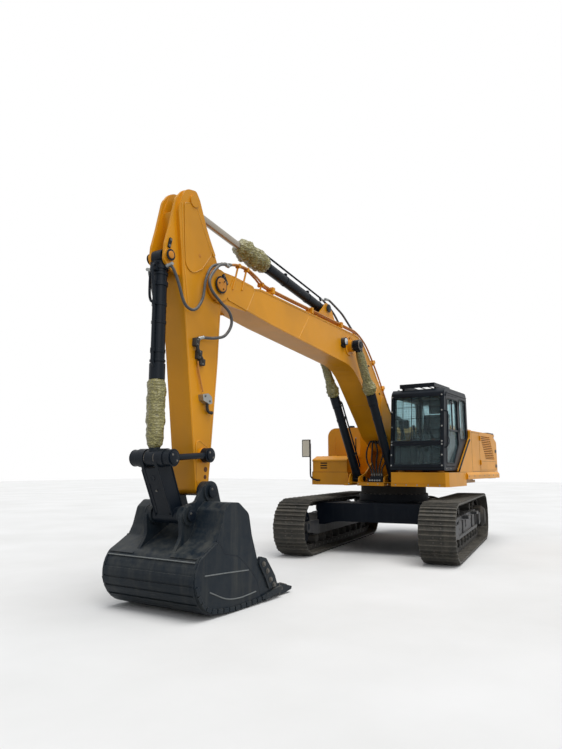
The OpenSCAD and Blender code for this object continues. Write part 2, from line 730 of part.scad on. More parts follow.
module cab_glass() {
    g = 6;
    c = seat_gap;
    color("#9fb4bd", 0.4) from_swing() {
        slab(cab_y1 - 30, cab_y1 - 30 + g) polygon(rear_window(c));
        slab(cab_y0 + 25, cab_y0 + 25 + g) polygon(rounded([[-180 + c, 2080 + c, 60],
            [cab_x - 230 - c, 2080 + c, 60],
            [cab_x - cab_lean - 110 - c, cab_top - 150 - c, 60], [-180 + c, cab_top - 150 - c, 60]]));
        translate([cab_rear + 25, cab_y0 + 110 + c, 2120 + c]) cube([g, cab_y1 - cab_y0 - 220 - 2 * c,
            750 - 2 * c]);
        windscreen(2060 + c, 2900 - c, cab_y0 + 75 + c, cab_y1 - 75 - c, g, -24);
        windscreen(1640 + c, 2000 - c, cab_y0 + 75 + c, cab_y1 - 75 - c, g, -24);
        translate([200 + c, cab_y0 + 180 + c, cab_top - 35]) cube([600 - 2 * c,
            cab_y1 - cab_y0 - 360 - 2 * c, g]);
    }
}

module cab_guard() {
    // Bars across, then bars up, as shares of the guard's height and width
    n_across = 3;
    wire = 7;
    // The roof guard's ends in x and y, and how far its bars stand up and over
    x = [130, 1050];
    y = [cab_y0 + 150, cab_y1 - 195];
    w = 50;
    color(dark) from_swing() {
        difference() {
            windscreen(2030, 2930, cab_y0 + 8, cab_y1 - 12, 30, 30 + seat_gap);
            windscreen(2070, 2890, cab_y0 + 58, cab_y1 - 62, 60, 60);
        }
        for (i = [1:n_across]) windscreen(2060 + i * 210, 2060 + wire + i * 210, cab_y0 + 50,
            cab_y1 - 55, 12, 22);
        for (i = [1:4]) windscreen(2060, 2900, cab_y0 + 60 + i * 176, cab_y0 + 60 + wire + i * 176, 12, 22);
        difference() {
            windscreen(1600, 2020, cab_y0 + 4, cab_y1 - 8, 30, 30 + seat_gap);
            windscreen(1640, 1980, cab_y0 + 48, cab_y1 - 52, 60, 60);
        }
        for (i = [1:5]) windscreen(1630, 1990, cab_y0 + 50 + i * 150, cab_y0 + 50 + wire + i * 150, 12, 22);
        // Raised guard over the roof hatch, on four feet
        difference() {
            translate([x[0], y[0], cab_top + 30]) cube([x[1] - x[0], y[1] - y[0], 75]);
            translate([x[0] + w, y[0] + w, cab_top + 29]) cube([x[1] - x[0] - 2 * w,
                y[1] - y[0] - 2 * w, 77]);
        }
        for (at = [x[0] + 20, x[1] - 150], side = [y[0] + 5, y[1] - 45]) translate([at, side,
            cab_top + seat_gap])
            cube([40, 40, 35]);
    }
}

knuckle_r = 14;

module cab_door() {
    color(dark) from_swing() difference() {
        slab(cab_y1 - cab_t + 10, cab_y1 + 4) polygon(door_outline(door_gap));
        slab(cab_y1 - cab_t, cab_y1 + 10) polygon(door_outline(door_gap + 55));
    }
    // Hinge knuckles off the cab's side, with their plates on the door
    color(dark) from_swing() for (z = [2250, 2760]) {
        translate([door_rear - 12, cab_y1 + knuckle_r + seat_gap, z]) cylinder(r = knuckle_r, h = 90);
        translate([door_rear - 12, cab_y1 + 3, z + 5]) cube([70, 14, 80]);
    }
}

module door_glass() {
    color("#9fb4bd", 0.4) from_swing() slab(cab_y1 - 30, cab_y1 - 24)
        polygon(door_outline(door_gap + 55 + seat_gap));
}

module seat() {
    // x, z and corner radius of the seat seen from the side
    side = rounded([[40, 1890, 30], [40, 1990, 0], [-20, 2640, 50], [90, 2640, 50], [160, 2080, 40],
        [560, 2090, 50], [570, 1960, 40], [450, 1890, 20]]);
    y = (cab_y0 + cab_y1) / 2;
    color("#2c2f33") from_swing() {
        slab(y - 250, y + 250) polygon(side);
        translate([120, y - 180, cab_z + cab_t]) cube([330, 360, 1890 - cab_z - cab_t + lap]);
    }
}

module consoles() {
    y = (cab_y0 + cab_y1) / 2;
    color("#33363b") from_swing() {
        for (s = [-1, 1]) translate([0, y + s * 330, 0]) {
            translate([80, -60, cab_z + cab_t]) cube([430, 120, 560]);
            bar([430, cab_z + cab_t + 559], [450, 2330], 0, 22);
        }
        for (s = [-1, 1]) translate([0, y + s * 90, 0]) bar([880, cab_z + cab_t + 2.3], [800, 2200], 0, 15);
    }
}

module handrails() {
    y = -right_y - 20;
    color(dark) from_swing() {
        // Rail at the corner of the tool box, from the skirt's front up to the mirror
        hose([[skirt_x + seat_gap, y + 190, 1330], [skirt_x + 25, y + 190, 1330],
            [skirt_x + 35, y + 160, 1330],
            [skirt_x + 35, y + 60, 1350], [skirt_x + 35, y + 10, 1400], [skirt_x + 35, y, 1460],
            [skirt_x + 35, y, 2080]], 34);
    }
}

module side_mirror() {
    color(dark) from_swing() {
        translate([skirt_x + 85, -right_y - 170, 1800]) cube([30, 190, 360]);
        for (z = [1830, 2030]) translate([skirt_x + 52 + seat_gap, -right_y - 36, z]) cube([34, 32, 40]);
    }
}

// Boom

// Along the line of pins, square to it, and corner radius of the boom's back
BACK = [[-60, 215, 140], [0.35 * boom_len, 1375, 620], [boom_len - 845, 470, 500],
    [boom_len - 345, 190, 0]];

module boom() {
    // Along the line of pins, square to it, and corner radius of the boom's side
    body = rounded(concat(BACK, [[boom_len - 345, -60, 0],
        [boom_len - 1245, 110, 900], [0.374 * boom_len, 690, 900], [760, -90, 300], [200, -190, 120]]));
    t = boom_len;
    b = STICK_SEAT;
    cheek = rounded([[t - 745, 430, 60], [t - 245, 300, 60], [t - 25, 222, 0], [t - 25, -222, 0],
        [t - 245, -150, 60], [t - 645, -20, 60]]);
    color(yellow) from_swing() difference() {
        union() {
            at_pivot(FOOT, boom_rise) difference() {
                slab(-boom_w / 2, boom_w / 2) polygon(body);
                barrel([boom_len, 0], -stick_w / 2 - 8, stick_w / 2 + 8, 350);
            }
            barrel(FOOT, -bracket_y + 5, bracket_y - 5, 150);
            at_pivot(FOOT, boom_rise) both_sides() {
                slab(stick_w / 2 + 8, boom_w / 2) polygon(cheek);
                barrel([boom_len, 0], stick_w / 2 + 8, boom_w / 2 + 25, 205);
            }
            // Clevis of the stick cylinder on the boom's back
            at_pivot(FOOT, boom_rise) both_sides() slab(eye_w / 2 + 8, eye_w / 2 + 38)
                polygon(rounded([[b[0] - 450, 1150, 0], [b[0] - 150, b[1] + 30, 60],
                    [b[0] + 60, b[1] + 110, 90],
                    [b[0] + 130, b[1] - 40, 80], [b[0] + 350, 930, 0]]));
            // Bosses for the boom cylinders' pins
            both_sides() barrel(BOOM_EYE, boom_w / 2 - lap, cyl_y - eye_w / 2 - 6, 105);
        }
        barrel(FOOT, -400, 400, pin_d / 2 + pin_gap);
        at_pivot(FOOT, boom_rise) barrel([boom_len, 0], -400, 400, pin_d / 2 + pin_gap);
        barrel(STICK_BASE, -300, 300, 45 + pin_gap);
    }
}

module boom_pins() {
    color(dark) from_swing() {
        barrel(FOOT, -bracket_y - 75, bracket_y + 75, pin_d / 2);
        barrel(TIP, -boom_w / 2 - 45, boom_w / 2 + 45, pin_d / 2);
        barrel(STICK_BASE, -eye_w / 2 - 60, eye_w / 2 + 60, 45);
    }
}

module boom_pipes() {
    pipe_r = 16;
    h = 40;
    a = [BACK[0][0], BACK[0][1]];
    b = [BACK[1][0], BACK[1][1]];
    c = [BACK[2][0], BACK[2][1]];
    d = [BACK[3][0], BACK[3][1]];
    b_up = lifted(a, b, c, h);
    c_up = lifted(b, c, d, h);
    a_up = b_up + (a - b) * 0.72;
    path = concat([a_up], corner(a_up, b_up, c_up, BACK[1][2] + h), corner(b_up, c_up, d, BACK[2][2] + h));
    // Distance of each clamp from the back's highest corner, on its first and on its second slope
    clamps = [[a, b, [0.35, 0.6]], [c, b, [0.12, 0.34, 0.56]]];
    color(steel) from_swing() at_pivot(FOOT, boom_rise) for (s = [-1, 1]) {
        for (k = [0, 1]) hose([for (p = path) [p[0], s * (145 + 40 * k), p[1]]], 2 * pipe_r);
        for (row = clamps, t = row[2]) {
            at = row[0] + (row[1] - row[0]) * t;
            way = row[1] - row[0];
            translate([at[0], s * 165, at[1]]) rotate([0, -atan(way[1] / way[0]), 0])
                translate([-25, -42, seat_gap]) cube([50, 84, h + pipe_r + 8]);
        }
    }
}

module boom_lamp() {
    p = on_boom(2800, 945);
    color(dark) from_swing() barrel(p, boom_w / 2 + seat_gap, boom_w / 2 + 70, 70);
}

function along(p, q, s) = p + (q - p) / norm(q - p) * s;

// A cylinder's tube from the pin at p towards q: length, tube radius and eye width
module cylinder_tube(p, q, y, length, r, w) {
    difference() {
        union() {
            barrel(p, y - w / 2, y + w / 2, r + 5);
            bar(along(p, q, 60), along(p, q, length), y, r);
            bar(along(p, q, length - 150), along(p, q, length + 30), y, r + 10);
            bar(along(p, q, 150), along(p, q, 190), y, r + 4);
        }
        bar(along(p, q, 230), along(p, q, length + 31), y, rod_d / 2 + 0.3);
    }
}

// The rod on that line: from inside the tube to its eye at q
module cylinder_rod(p, q, y, inside, r, w) {
    bar(along(p, q, inside), along(p, q, norm(q - p) - 40), y, rod_d / 2);
    barrel(q, y - w / 2, y + w / 2, r);
}

boom_tube_len = 1790;
stick_tube_len = 2100;
bucket_tube_len = 1440;

module boom_cylinder_tubes() {
    color(dark) from_swing() both_sides() difference() {
        cylinder_tube(BOOM_BASE, BOOM_EYE, cyl_y, boom_tube_len, tube_d / 2, eye_w);
        barrel(BOOM_BASE, 0, 600, 45 + pin_gap);
    }
    color(dark) from_swing() both_sides() barrel(BOOM_BASE, bracket_y - 20, ear_y + 40, 45);
}

module boom_cylinder_rods() {
    color(steel) from_swing() both_sides()
        cylinder_rod(BOOM_BASE, BOOM_EYE, cyl_y, boom_tube_len - 870, 95, eye_w - 20);
}

module boom_rod_wraps() {
    color(film) from_swing() both_sides()
        wrap_tube(BOOM_BASE, BOOM_EYE, cyl_y, boom_tube_len + 35, norm(BOOM_EYE - BOOM_BASE) - 105);
}

// A wrap's bunched film around a rod, between two distances along it
module wrap_tube(p, q, y, from, to) {
    difference() {
        union() {
            bar(along(p, q, from), along(p, q, from + 260), y, wrap_d / 2);
            bar(along(p, q, from + 259), along(p, q, to), y, wrap_d / 2 - 18);
        }
        bar(along(p, q, from - 1), along(p, q, to + 1), y, rod_d / 2 + seat_gap);
    }
}

// Stick

ear_in = eye_w / 2 + 16;
ear_t = 35;

module stick() {
    // Along the line of pins from the boom pin, square to it, and corner radius of the stick's side
    side = rounded([[-1090, 500, 60], [-1040, 690, 140], [-740, 790, 300], [-240, 690, 150],
        [150, 620, 200],
        [stick_len - 1044, 335, 0], [stick_len - 125, 150, 60], [stick_len + 40, 120, 80],
        [stick_len + 40, -120, 80], [stick_len - 140, -100, 200], [1000, -130, 0],
        [300, -120, 200], [60, -190, 90], [-200, -60, 200], [-700, 260, 300], [-1000, 420, 60]]);
    ears = rounded([[-1060, 500, 0], [-1042, 680, 120], [-880, 800, 200], [-458, 868, 400],
        [-230, 915, 100],
        [-20, 915, 95], [50, 800, 100], [90, 560, 0]]);
    ear_gap = eye_w / 2 + 8;
    color(yellow) from_swing() difference() {
        union() {
            at_pivot(TIP, stick_dir) difference() {
                slab(-stick_w / 2, stick_w / 2) polygon(side);
                // Slot for the stick cylinder's eye
                slab(-ear_gap, ear_gap) polygon([[-1200, 330], [-1200, 1000], [-720, 1000],
                    [-720, 420], [-800, 200]]);
            }
            at_pivot(TIP, stick_dir) both_sides() slab(ear_in, ear_in + ear_t) polygon(ears);
            both_sides() {
                barrel(ROD_PIN, ear_gap + lap, stick_w / 2 + 20, 78);
                barrel(CYL_PIN, ear_in + lap, ear_in + ear_t + 14, 72);
                barrel(LINK_STICK_PIN, stick_w / 2 - lap, stick_w / 2 + 35, 85);
            }
            barrel(TIP, -stick_w / 2 - 2, stick_w / 2 + 2, 200);
        }
        barrel(TIP, -400, 400, pin_d / 2 + pin_gap);
        barrel(BUCKET_PIN, -400, 400, 50 + pin_gap);
        barrel(LINK_STICK_PIN, -400, 400, 42 + pin_gap);
        barrel(CYL_PIN, -400, 400, 42 + pin_gap);
    }
}

module stick_pipes() {
    y = stick_w / 2;
    color(steel) from_swing() at_pivot(TIP, stick_dir) {
        translate([800, y + seat_gap, 250]) cube([200, 60, 80]);
        translate([1430, y + seat_gap, 30]) cube([120, 75, 160]);
        hose([[990, y + 30, 290], [1100, y + 22, 270], [1300, y + 22, 200], [1440, y + 30, 150]], 26);
    }
}

module stick_cylinder_tube() {
    color(dark) from_swing() difference() {
        cylinder_tube(STICK_BASE, ROD_PIN, 0, stick_tube_len, tube_d / 2, eye_w);
        barrel(STICK_BASE, -300, 300, 45 + pin_gap);
    }
}

module stick_cylinder_rod() {
    color(steel) from_swing() cylinder_rod(STICK_BASE, ROD_PIN, 0, stick_tube_len - 810, 95, eye_w - 4);
}

module stick_rod_wrap() {
    color(film) from_swing() wrap_tube(STICK_BASE, ROD_PIN, 0, stick_tube_len + 35, stick_tube_len + 420);
}

module bucket_cylinder_tube() {
    color(dark) from_swing() {
        difference() {
            cylinder_tube(CYL_PIN, LINK_PIN, 0, bucket_tube_len, tube_d / 2 + 3, eye_w);
            barrel(CYL_PIN, -300, 300, 42 + pin_gap);
        }
        barrel(CYL_PIN, -ear_in - ear_t - 35, ear_in + ear_t + 35, 42);
    }
}

module bucket_cylinder_rod() {
    color(steel) from_swing() cylinder_rod(CYL_PIN, LINK_PIN, 0, bucket_tube_len - 680, 95, eye_w);
}

module bucket_rod_wrap() {
    color(film) from_swing() wrap_tube(CYL_PIN, LINK_PIN, 0, bucket_tube_len + 35,
        norm(LINK_PIN - CYL_PIN) - 105);
}

// Bucket linkage

link_y = stick_w / 2 + 40;
link_t = 90;

module side_links() {
    color(dark) from_swing() {
        both_sides() {
            barrel(LINK_PIN, link_y, link_y + link_t, 95);
            barrel(LINK_STICK_PIN, link_y, link_y + link_t, 85);
            bar(along(LINK_STICK_PIN, LINK_PIN, 60), along(LINK_STICK_PIN, LINK_PIN,
                norm(LINK_PIN - LINK_STICK_PIN) - 60),
                link_y + link_t / 2, 36);
        }
        barrel(LINK_STICK_PIN, -link_y - 10, link_y + 10, 42);
    }
}

module h_link() {
    d = BUCKET_LINK_PIN - LINK_PIN;
    half_in = eye_w / 2 + 8;
    half_out = link_y - 6;
    // Along the link from its upper pin, square to it, and corner radius
    side = rounded([[-60, -110, 80], [-60, 110, 80], [norm(d) - 20, 90, 60], [norm(d) - 20, -90, 60]]);
    color(dark) from_swing() difference() {
        union() {
            both_sides() barrel(LINK_PIN, half_in + lap, half_out, 105);
            at_pivot(LINK_PIN, atan2(d[1], d[0])) {
                both_sides() slab(half_in, half_in + 45) polygon(side);
                slab(-half_in - 10, half_in + 10) polygon([[230, -95], [230, 95], [norm(d) - 40, 88],
                    [norm(d) - 40, -88]]);
            }
            barrel(BUCKET_LINK_PIN, -185, 185, 95);
            at_pivot(LINK_PIN, atan2(d[1], d[0])) slab(-25, 25)
                polygon([[430, -90], [440, -190], [560, -190], [600, -90]]);
        }
        barrel(BUCKET_LINK_PIN, -300, 300, 42 + pin_gap);
        at_pivot(LINK_PIN, atan2(d[1], d[0])) barrel([505, -140], -26, 26, lift_r);
    }
}

module at_bucket() {
    translate([BUCKET_PIN[0], 0, BUCKET_PIN[1]]) children();
}

floor_z = -BUCKET_PIN[1];
wear_t = 10;

module bucket() {
    half = bucket_w / 2;
    // From the bucket pin: x, z and corner radius of the outside and of the inside
    skin = [[-810, floor_z + 60, 0], [-500, floor_z + 12, 300], [60, floor_z, 500],
        [640, floor_z + 60, 380],
        [760, -830, 330], [640, -660, 120], [330, -500, 60], [-180, -240, 60]];
    lip = [[-290, -330, 30], [-330, -600, 0], [-640, floor_z + 220, 0]];
    outside = rounded(concat(skin, lip));
    // The wrapper's face between its wear strips, and these gaps' heights over the floor and places along it
    face = rounded(inside(concat(skin, lip), wear_t));
    gaps_up = [[160, 185], [260, 285], [360, 385], [475, 600]];
    gaps_along = [[-350, -325], [-90, -65], [150, 175], [370, 395]];
    hollow = inside(concat(skin, [[-900, -600, 0]]), wrapper_t);
    hollow_front = [[-1000, -400, 0], [-1000, floor_z + 110, 0], [-760, floor_z + 110, 0]];
    hollow_rows = concat(hollow_front, [for (i = [1:7]) hollow[i]], [[-500, -100, 0]]);
    shoulder = rounded([[660, -670, 0], [353, -512, 60], [286, -400, 100], [220, -190, 60], [112, -108, 60],
        [-39, -115, 80], [-238, -250, 60], [-290, -330, 0], [-180, -250, 0], [330, -512, 0],
            [620, -672, 0]]);
    side_rows = [[-810, floor_z + 60, 0], [-500, floor_z + 12, 300], [60, floor_z, 500],
        [640, floor_z + 60, 380],
        [760, -830, 330], [640, -660, 120], [353, -512, 60], [286, -400, 100], [220, -190, 60],
            [112, -108, 60],
        [-39, -115, 80], [-238, -250, 120], [-302, -508, 200], [-410, -782, 200],
            [-660, floor_z + 190, 40]];
    // Where the second plate lies on a side plate, and the cutter on its front edge
    doubled = rounded([[363, -510, 40], [297, -556, 40], [229, -657, 60], [-24, -713, 120],
        [-269, -897, 200],
        [-396, -1028, 100], [-475, -1239, 0], [-520, floor_z - 60, 0], [900, floor_z - 60, 0],
            [900, -510, 0]]);
    cutter = rounded([[-440, -760, 30], [-577, -799, 30], [-659, -892, 20], [-769, -1025, 20],
        [-830, -1160, 30],
        [-640, -1163, 20], [-560, -1026, 0], [-430, -850, 30]]);
    ear = rounded([[-250, -260, 60], [-130, 60, 120], [0, 145, 120], [130, 60, 100], [250, -110, 60],
        [390, -130, 110],
        [500, -250, 110], [480, -480, 120], [600, -655, 0], [330, -516, 0], [-180, -256, 0]]);
    color(dark) from_swing() at_bucket() difference() {
        union() {
            difference() {
                slab(-half + side_t, half - side_t) difference() {
                    polygon(outside);
                    difference() {
                        union() {
                            for (g = gaps_up) translate([450, floor_z + g[0]]) square([400, g[1] - g[0]]);
                            for (g = gaps_along) translate([g[0], floor_z - 1]) square([g[1] - g[0], 120]);
                        }
                        polygon(face);
                    }
                }
                slab(-half + side_t - 1, half - side_t + 1) polygon(rounded(hollow_rows));
            }
            both_sides() {
                slab(half - side_t, half) polygon(rounded(side_rows));
                slab(half - lap, half + wear_t) intersection() {
                    polygon(rounded(inside(side_rows, 8)));
                    polygon(doubled);
                }
                slab(half - 15, half + 20) polygon(cutter);
                slab(285, half - side_t) polygon(shoulder);
                slab(245, 290) polygon(ear);
                barrel([0, 0], 178, 310, 120);
                barrel([370, -255], 200, 310, 110);
            }
        }
        barrel([0, 0], -400, 400, 50 + pin_gap);
        barrel([370, -255], -400, 400, 42 + pin_gap);
    }
    color(dark) from_swing() at_bucket() {
        barrel([0, 0], -330, 330, 50);
        barrel([370, -255], -330, 330, 42);
    }
}

module bucket_teeth() {
    step = (bucket_w - 160) / (teeth - 1);
    lip_x = -810 - seat_gap;
    // From the bucket pin: x, z and corner radius of an adapter with its tooth
    tooth = rounded([[lip_x - 5, floor_z + 25, 0], [lip_x - 5, floor_z + 150, 20],
        [-920, floor_z + 158, 30],
        [-1010, floor_z + 140, 30], [-1240, floor_z + 75, 10], [-1225, floor_z + 42, 10],
            [-1080, floor_z + 22, 20],
        [-900, floor_z + 22, 30]]);
    // The shroud outside each corner of the lip
    shroud = rounded([[-545, floor_z + 22, 0], [-590, floor_z + 95, 20], [-798, floor_z + 130, 20],
        [-905, floor_z + 138, 0], [-905, floor_z + 60, 0], [-810, floor_z + 62, 0]]);
    color("#4a4a4a") from_swing() at_bucket() {
        slab(-bucket_w / 2 - 28, bucket_w / 2 + 28) polygon([[lip_x, floor_z + 60], [lip_x, floor_z + 110],
            [-900, floor_z + 110], [-900, floor_z + 60]]);
        both_sides() slab(bucket_w / 2 + seat_gap, bucket_w / 2 + 30) polygon(shroud);
        for (i = [0:teeth - 1]) slab(-bucket_w / 2 + 80 + i * step - 50, -bucket_w / 2 + 80 + i * step + 50)
            polygon(tooth);
    }
}

carbody();
carbody_legs();
track_frame_left();
track_frame_right();
track_left();
track_right();
idlers();
sprockets();
track_rollers();
swing_bearing();
platform();
counterweight();
engine_block();
bay_frame();
left_panel();
right_panel();
fuel_tank();
tool_box();
tool_box_lid();
hood();
left_rear_door();
right_door();
exhaust();
cab_shell();
cab_glass();
cab_guard();
cab_door();
door_glass();
seat();
consoles();
handrails();
side_mirror();
swing_drive();
boom();
boom_pins();
boom_pipes();
boom_lamp();
boom_cylinder_tubes();
boom_cylinder_rods();
boom_rod_wraps();
stick();
stick_pipes();
stick_cylinder_tube();
stick_cylinder_rod();
stick_rod_wrap();
bucket_cylinder_tube();
bucket_cylinder_rod();
bucket_rod_wrap();
side_links();
h_link();
bucket();
bucket_teeth();
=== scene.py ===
"""Looks of a crawler excavator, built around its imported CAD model. Metres, +X forward, +Z up."""
import math

import bpy
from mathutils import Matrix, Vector, noise


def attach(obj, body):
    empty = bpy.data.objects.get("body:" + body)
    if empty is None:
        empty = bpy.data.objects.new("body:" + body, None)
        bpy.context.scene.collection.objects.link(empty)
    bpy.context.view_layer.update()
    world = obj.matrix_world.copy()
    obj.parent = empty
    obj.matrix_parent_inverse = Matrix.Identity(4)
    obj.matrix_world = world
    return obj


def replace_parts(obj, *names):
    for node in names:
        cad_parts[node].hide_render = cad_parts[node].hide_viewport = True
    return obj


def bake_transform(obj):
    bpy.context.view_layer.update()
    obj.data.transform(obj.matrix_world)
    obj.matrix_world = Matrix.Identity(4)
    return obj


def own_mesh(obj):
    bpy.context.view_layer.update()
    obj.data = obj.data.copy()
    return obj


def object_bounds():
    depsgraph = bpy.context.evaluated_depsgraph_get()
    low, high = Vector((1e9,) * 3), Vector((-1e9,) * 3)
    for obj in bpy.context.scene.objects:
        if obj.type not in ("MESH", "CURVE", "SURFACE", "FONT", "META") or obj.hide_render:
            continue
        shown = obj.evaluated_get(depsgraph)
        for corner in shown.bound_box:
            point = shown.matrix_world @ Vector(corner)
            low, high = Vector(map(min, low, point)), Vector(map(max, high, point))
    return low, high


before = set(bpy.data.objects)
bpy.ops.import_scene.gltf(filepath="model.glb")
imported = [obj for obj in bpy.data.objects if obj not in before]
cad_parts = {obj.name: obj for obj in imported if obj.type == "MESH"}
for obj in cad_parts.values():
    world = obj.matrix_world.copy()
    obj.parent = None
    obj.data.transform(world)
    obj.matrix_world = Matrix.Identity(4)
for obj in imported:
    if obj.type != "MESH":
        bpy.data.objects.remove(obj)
CAD_BOX = [list(corner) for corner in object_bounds()]

# Driving sizes, repeated from the CAD in metres and degrees; the swing axis stands at -SWING_X
SWING_X = 1.790627
TRACK_TURN = 8.5
GAUGE = 2.59
WHEELBASE = 3.99
TRACK_H = 1.02
GROUSER_H = 0.03
SHOE_T = 0.024
SHOE_W = 0.6
SHOES = 48
CHAIN_H = 0.11
BOOM_FOOT = Vector((0.24, 2.02))
BOOM_RISE = 17.8
BOOM_LEN = 6.145
BOOM_HALF = 0.21
STICK_DIR = 4.2 - 90
STICK_LEN = 2.6
STICK_HALF = 0.17
BUCKET_HALF = 0.685
CYL_Y = 0.375
# The house's side faces; the boom cylinder's pins on the house and on the boom; and the pins of the bucket
# cylinder's rod and of the H-shaped link, measured from the bucket's pin
LEFT, RIGHT = 1.55, -1.39
CYL_BASE = Vector((0.88, 1.37))
CYL_BOSS = Vector((2.545, 0.985))
ROD_PIN = Vector((0.65, 0.39))
LINK_PIN = Vector((0.37, -0.255))

AHEAD, ACROSS, UP = Vector((1, 0, 0)), Vector((0, 1, 0)), Vector((0, 0, 1))


# Places


def turned(p, angle):
    """A 2D point turned by an angle in degrees."""
    a = math.radians(angle)
    return Vector((p[0] * math.cos(a) - p[1] * math.sin(a), p[0] * math.sin(a) + p[1] * math.cos(a)))


BOOM_TIP = BOOM_FOOT + turned((BOOM_LEN, 0), BOOM_RISE)
BUCKET_PIN = BOOM_TIP + turned((STICK_LEN, 0), STICK_DIR)
GROUND = -BUCKET_PIN.y


def house(x, y, z):
    """A point measured from the swing axis."""
    return Vector((x - SWING_X, y, z))


def facing_x(a, b, h):
    """A point of a face square to X: across, up, and its place along X."""
    return house(h, a, b)


def facing_y(a, b, h):
    """A point of a face square to Y: ahead, up, and its place across."""
    return house(a, h, b)


def tracks(x, y, z):
    """A point of the undercarriage, which stands turned against the house."""
    p = turned((x, y), TRACK_TURN)
    return house(p.x, p.y, z)


def on_boom(u, y, v):
    """A point of the boom: along the line of its pins, across, and square to it."""
    p = BOOM_FOOT + turned((u, v), BOOM_RISE)
    return house(p.x, y, p.y)


def on_stick(a, y, p):
    """A point of the stick: down from the boom's tip pin, across, and forward."""
    q = BOOM_TIP + turned((a, p), STICK_DIR)
    return house(q.x, y, q.y)


def on_bucket(x, y, z):
    """A point measured from the bucket's pin."""
    return house(BUCKET_PIN.x + x, y, BUCKET_PIN.y + z)


def cab_front(y, z, out):
    """A point before the cab's leaning front."""
    return house(1.27 - 0.17 / 1.45 * (z - 1.53) + out * 0.993, y, z + out * 0.116)


# The two pins of each cylinder
LINE = {
    "boom": (CYL_BASE, BOOM_FOOT + turned(CYL_BOSS, BOOM_RISE)),
    "stick": (BOOM_FOOT + turned((0.537 * BOOM_LEN, 1.345), BOOM_RISE),
              BOOM_TIP + turned((-0.934, 0.53), STICK_DIR)),
    "bucket": (BOOM_TIP + turned((-0.104, 0.845), STICK_DIR), BUCKET_PIN + ROD_PIN),
}


def line_length(line):
    return (LINE[line][1] - LINE[line][0]).length


def line_axis(line):
    p, q = LINE[line]
    way = (q - p).normalized()
    return Vector((way.x, 0, way.y))


def on_line(line, s, y, off=0.0):
    """A point of a cylinder: s from its base pin towards its rod's eye, across, and square to its line."""
    p, q = LINE[line]
    way = (q - p).normalized()
    point = p + way * s + Vector((-way.y, way.x)) * off
    return house(point.x, y, point.y)


# Outlines


def circle(count, r=1.0, middle=(0, 0), closed=False, first=0.0):
    """Points evenly round a circle, the first one a share of a step on; closed ends on the first again."""
    angles = [2 * math.pi * (k + first) / count for k in range(count + closed)]
    return [(middle[0] + r * math.cos(a), middle[1] + r * math.sin(a)) for a in angles]


def corner(a, b, c, radius, step=12):
    """The corner b between a and c, cut to an arc."""
    if radius <= 0:
        return [b]
    u, v = (a - b).normalized(), (c - b).normalized()
    half = math.acos(max(-1, min(1, u.dot(v)))) / 2
    middle = b + (u + v).normalized() * radius / math.sin(half)
    p, q = (b + w * radius / math.tan(half) - middle for w in (u, v))
    start = math.atan2(p.y, p.x)
    turn = (math.atan2(q.y, q.x) - start + 3 * math.pi) % (2 * math.pi) - math.pi
    n = max(1, math.ceil(abs(math.degrees(turn)) / step))
    return [middle + radius * Vector((math.cos(start + turn * i / n), math.sin(start + turn * i / n)))
            for i in range(n + 1)]


def rounded(rows, closed=True):
    """An outline from rows of two coordinates and a corner radius."""
    pts = [Vector(row[:2]) for row in rows]
    path = []
    for i, row in enumerate(rows):
        ends = not closed and i in (0, len(rows) - 1)
        path += [pts[i]] if ends else corner(pts[i - 1], pts[i], pts[(i + 1) % len(pts)], row[2])
    return path


def box(a0, b0, a1, b1, radius=0.0):
    """A rectangle's outline between two corners."""
    return rounded([(a0, b0, radius), (a1, b0, radius), (a1, b1, radius), (a0, b1, radius)])


def curve(points, steps):
    """A smooth path through points."""
    ends = [2 * points[0] - points[1]] + points + [2 * points[-1] - points[-2]]
    path = []
    for i in range(1, len(ends) - 2):
        p0, p1, p2, p3 = ends[i - 1:i + 3]
        for k in range(steps):
            t = k / steps
            path.append(0.5 * (2 * p1 + (p2 - p0) * t + (2 * p0 - 5 * p1 + 4 * p2 - p3) * t * t
                               + (3 * p1 - p0 - 3 * p2 + p3) * t ** 3))
    return path + [points[-1]]


# Materials


def srgb(r, g, b):
    """A linear colour from 8-bit screen values."""
    shares = (r / 255, g / 255, b / 255)
    return tuple(c / 12.92 if c <= 0.04045 else ((c + 0.055) / 1.055) ** 2.4 for c in shares) + (1,)


def shade(colour, factor):
    """A colour made darker or lighter."""
    return tuple(min(1, c * factor) for c in colour[:3]) + (1,)


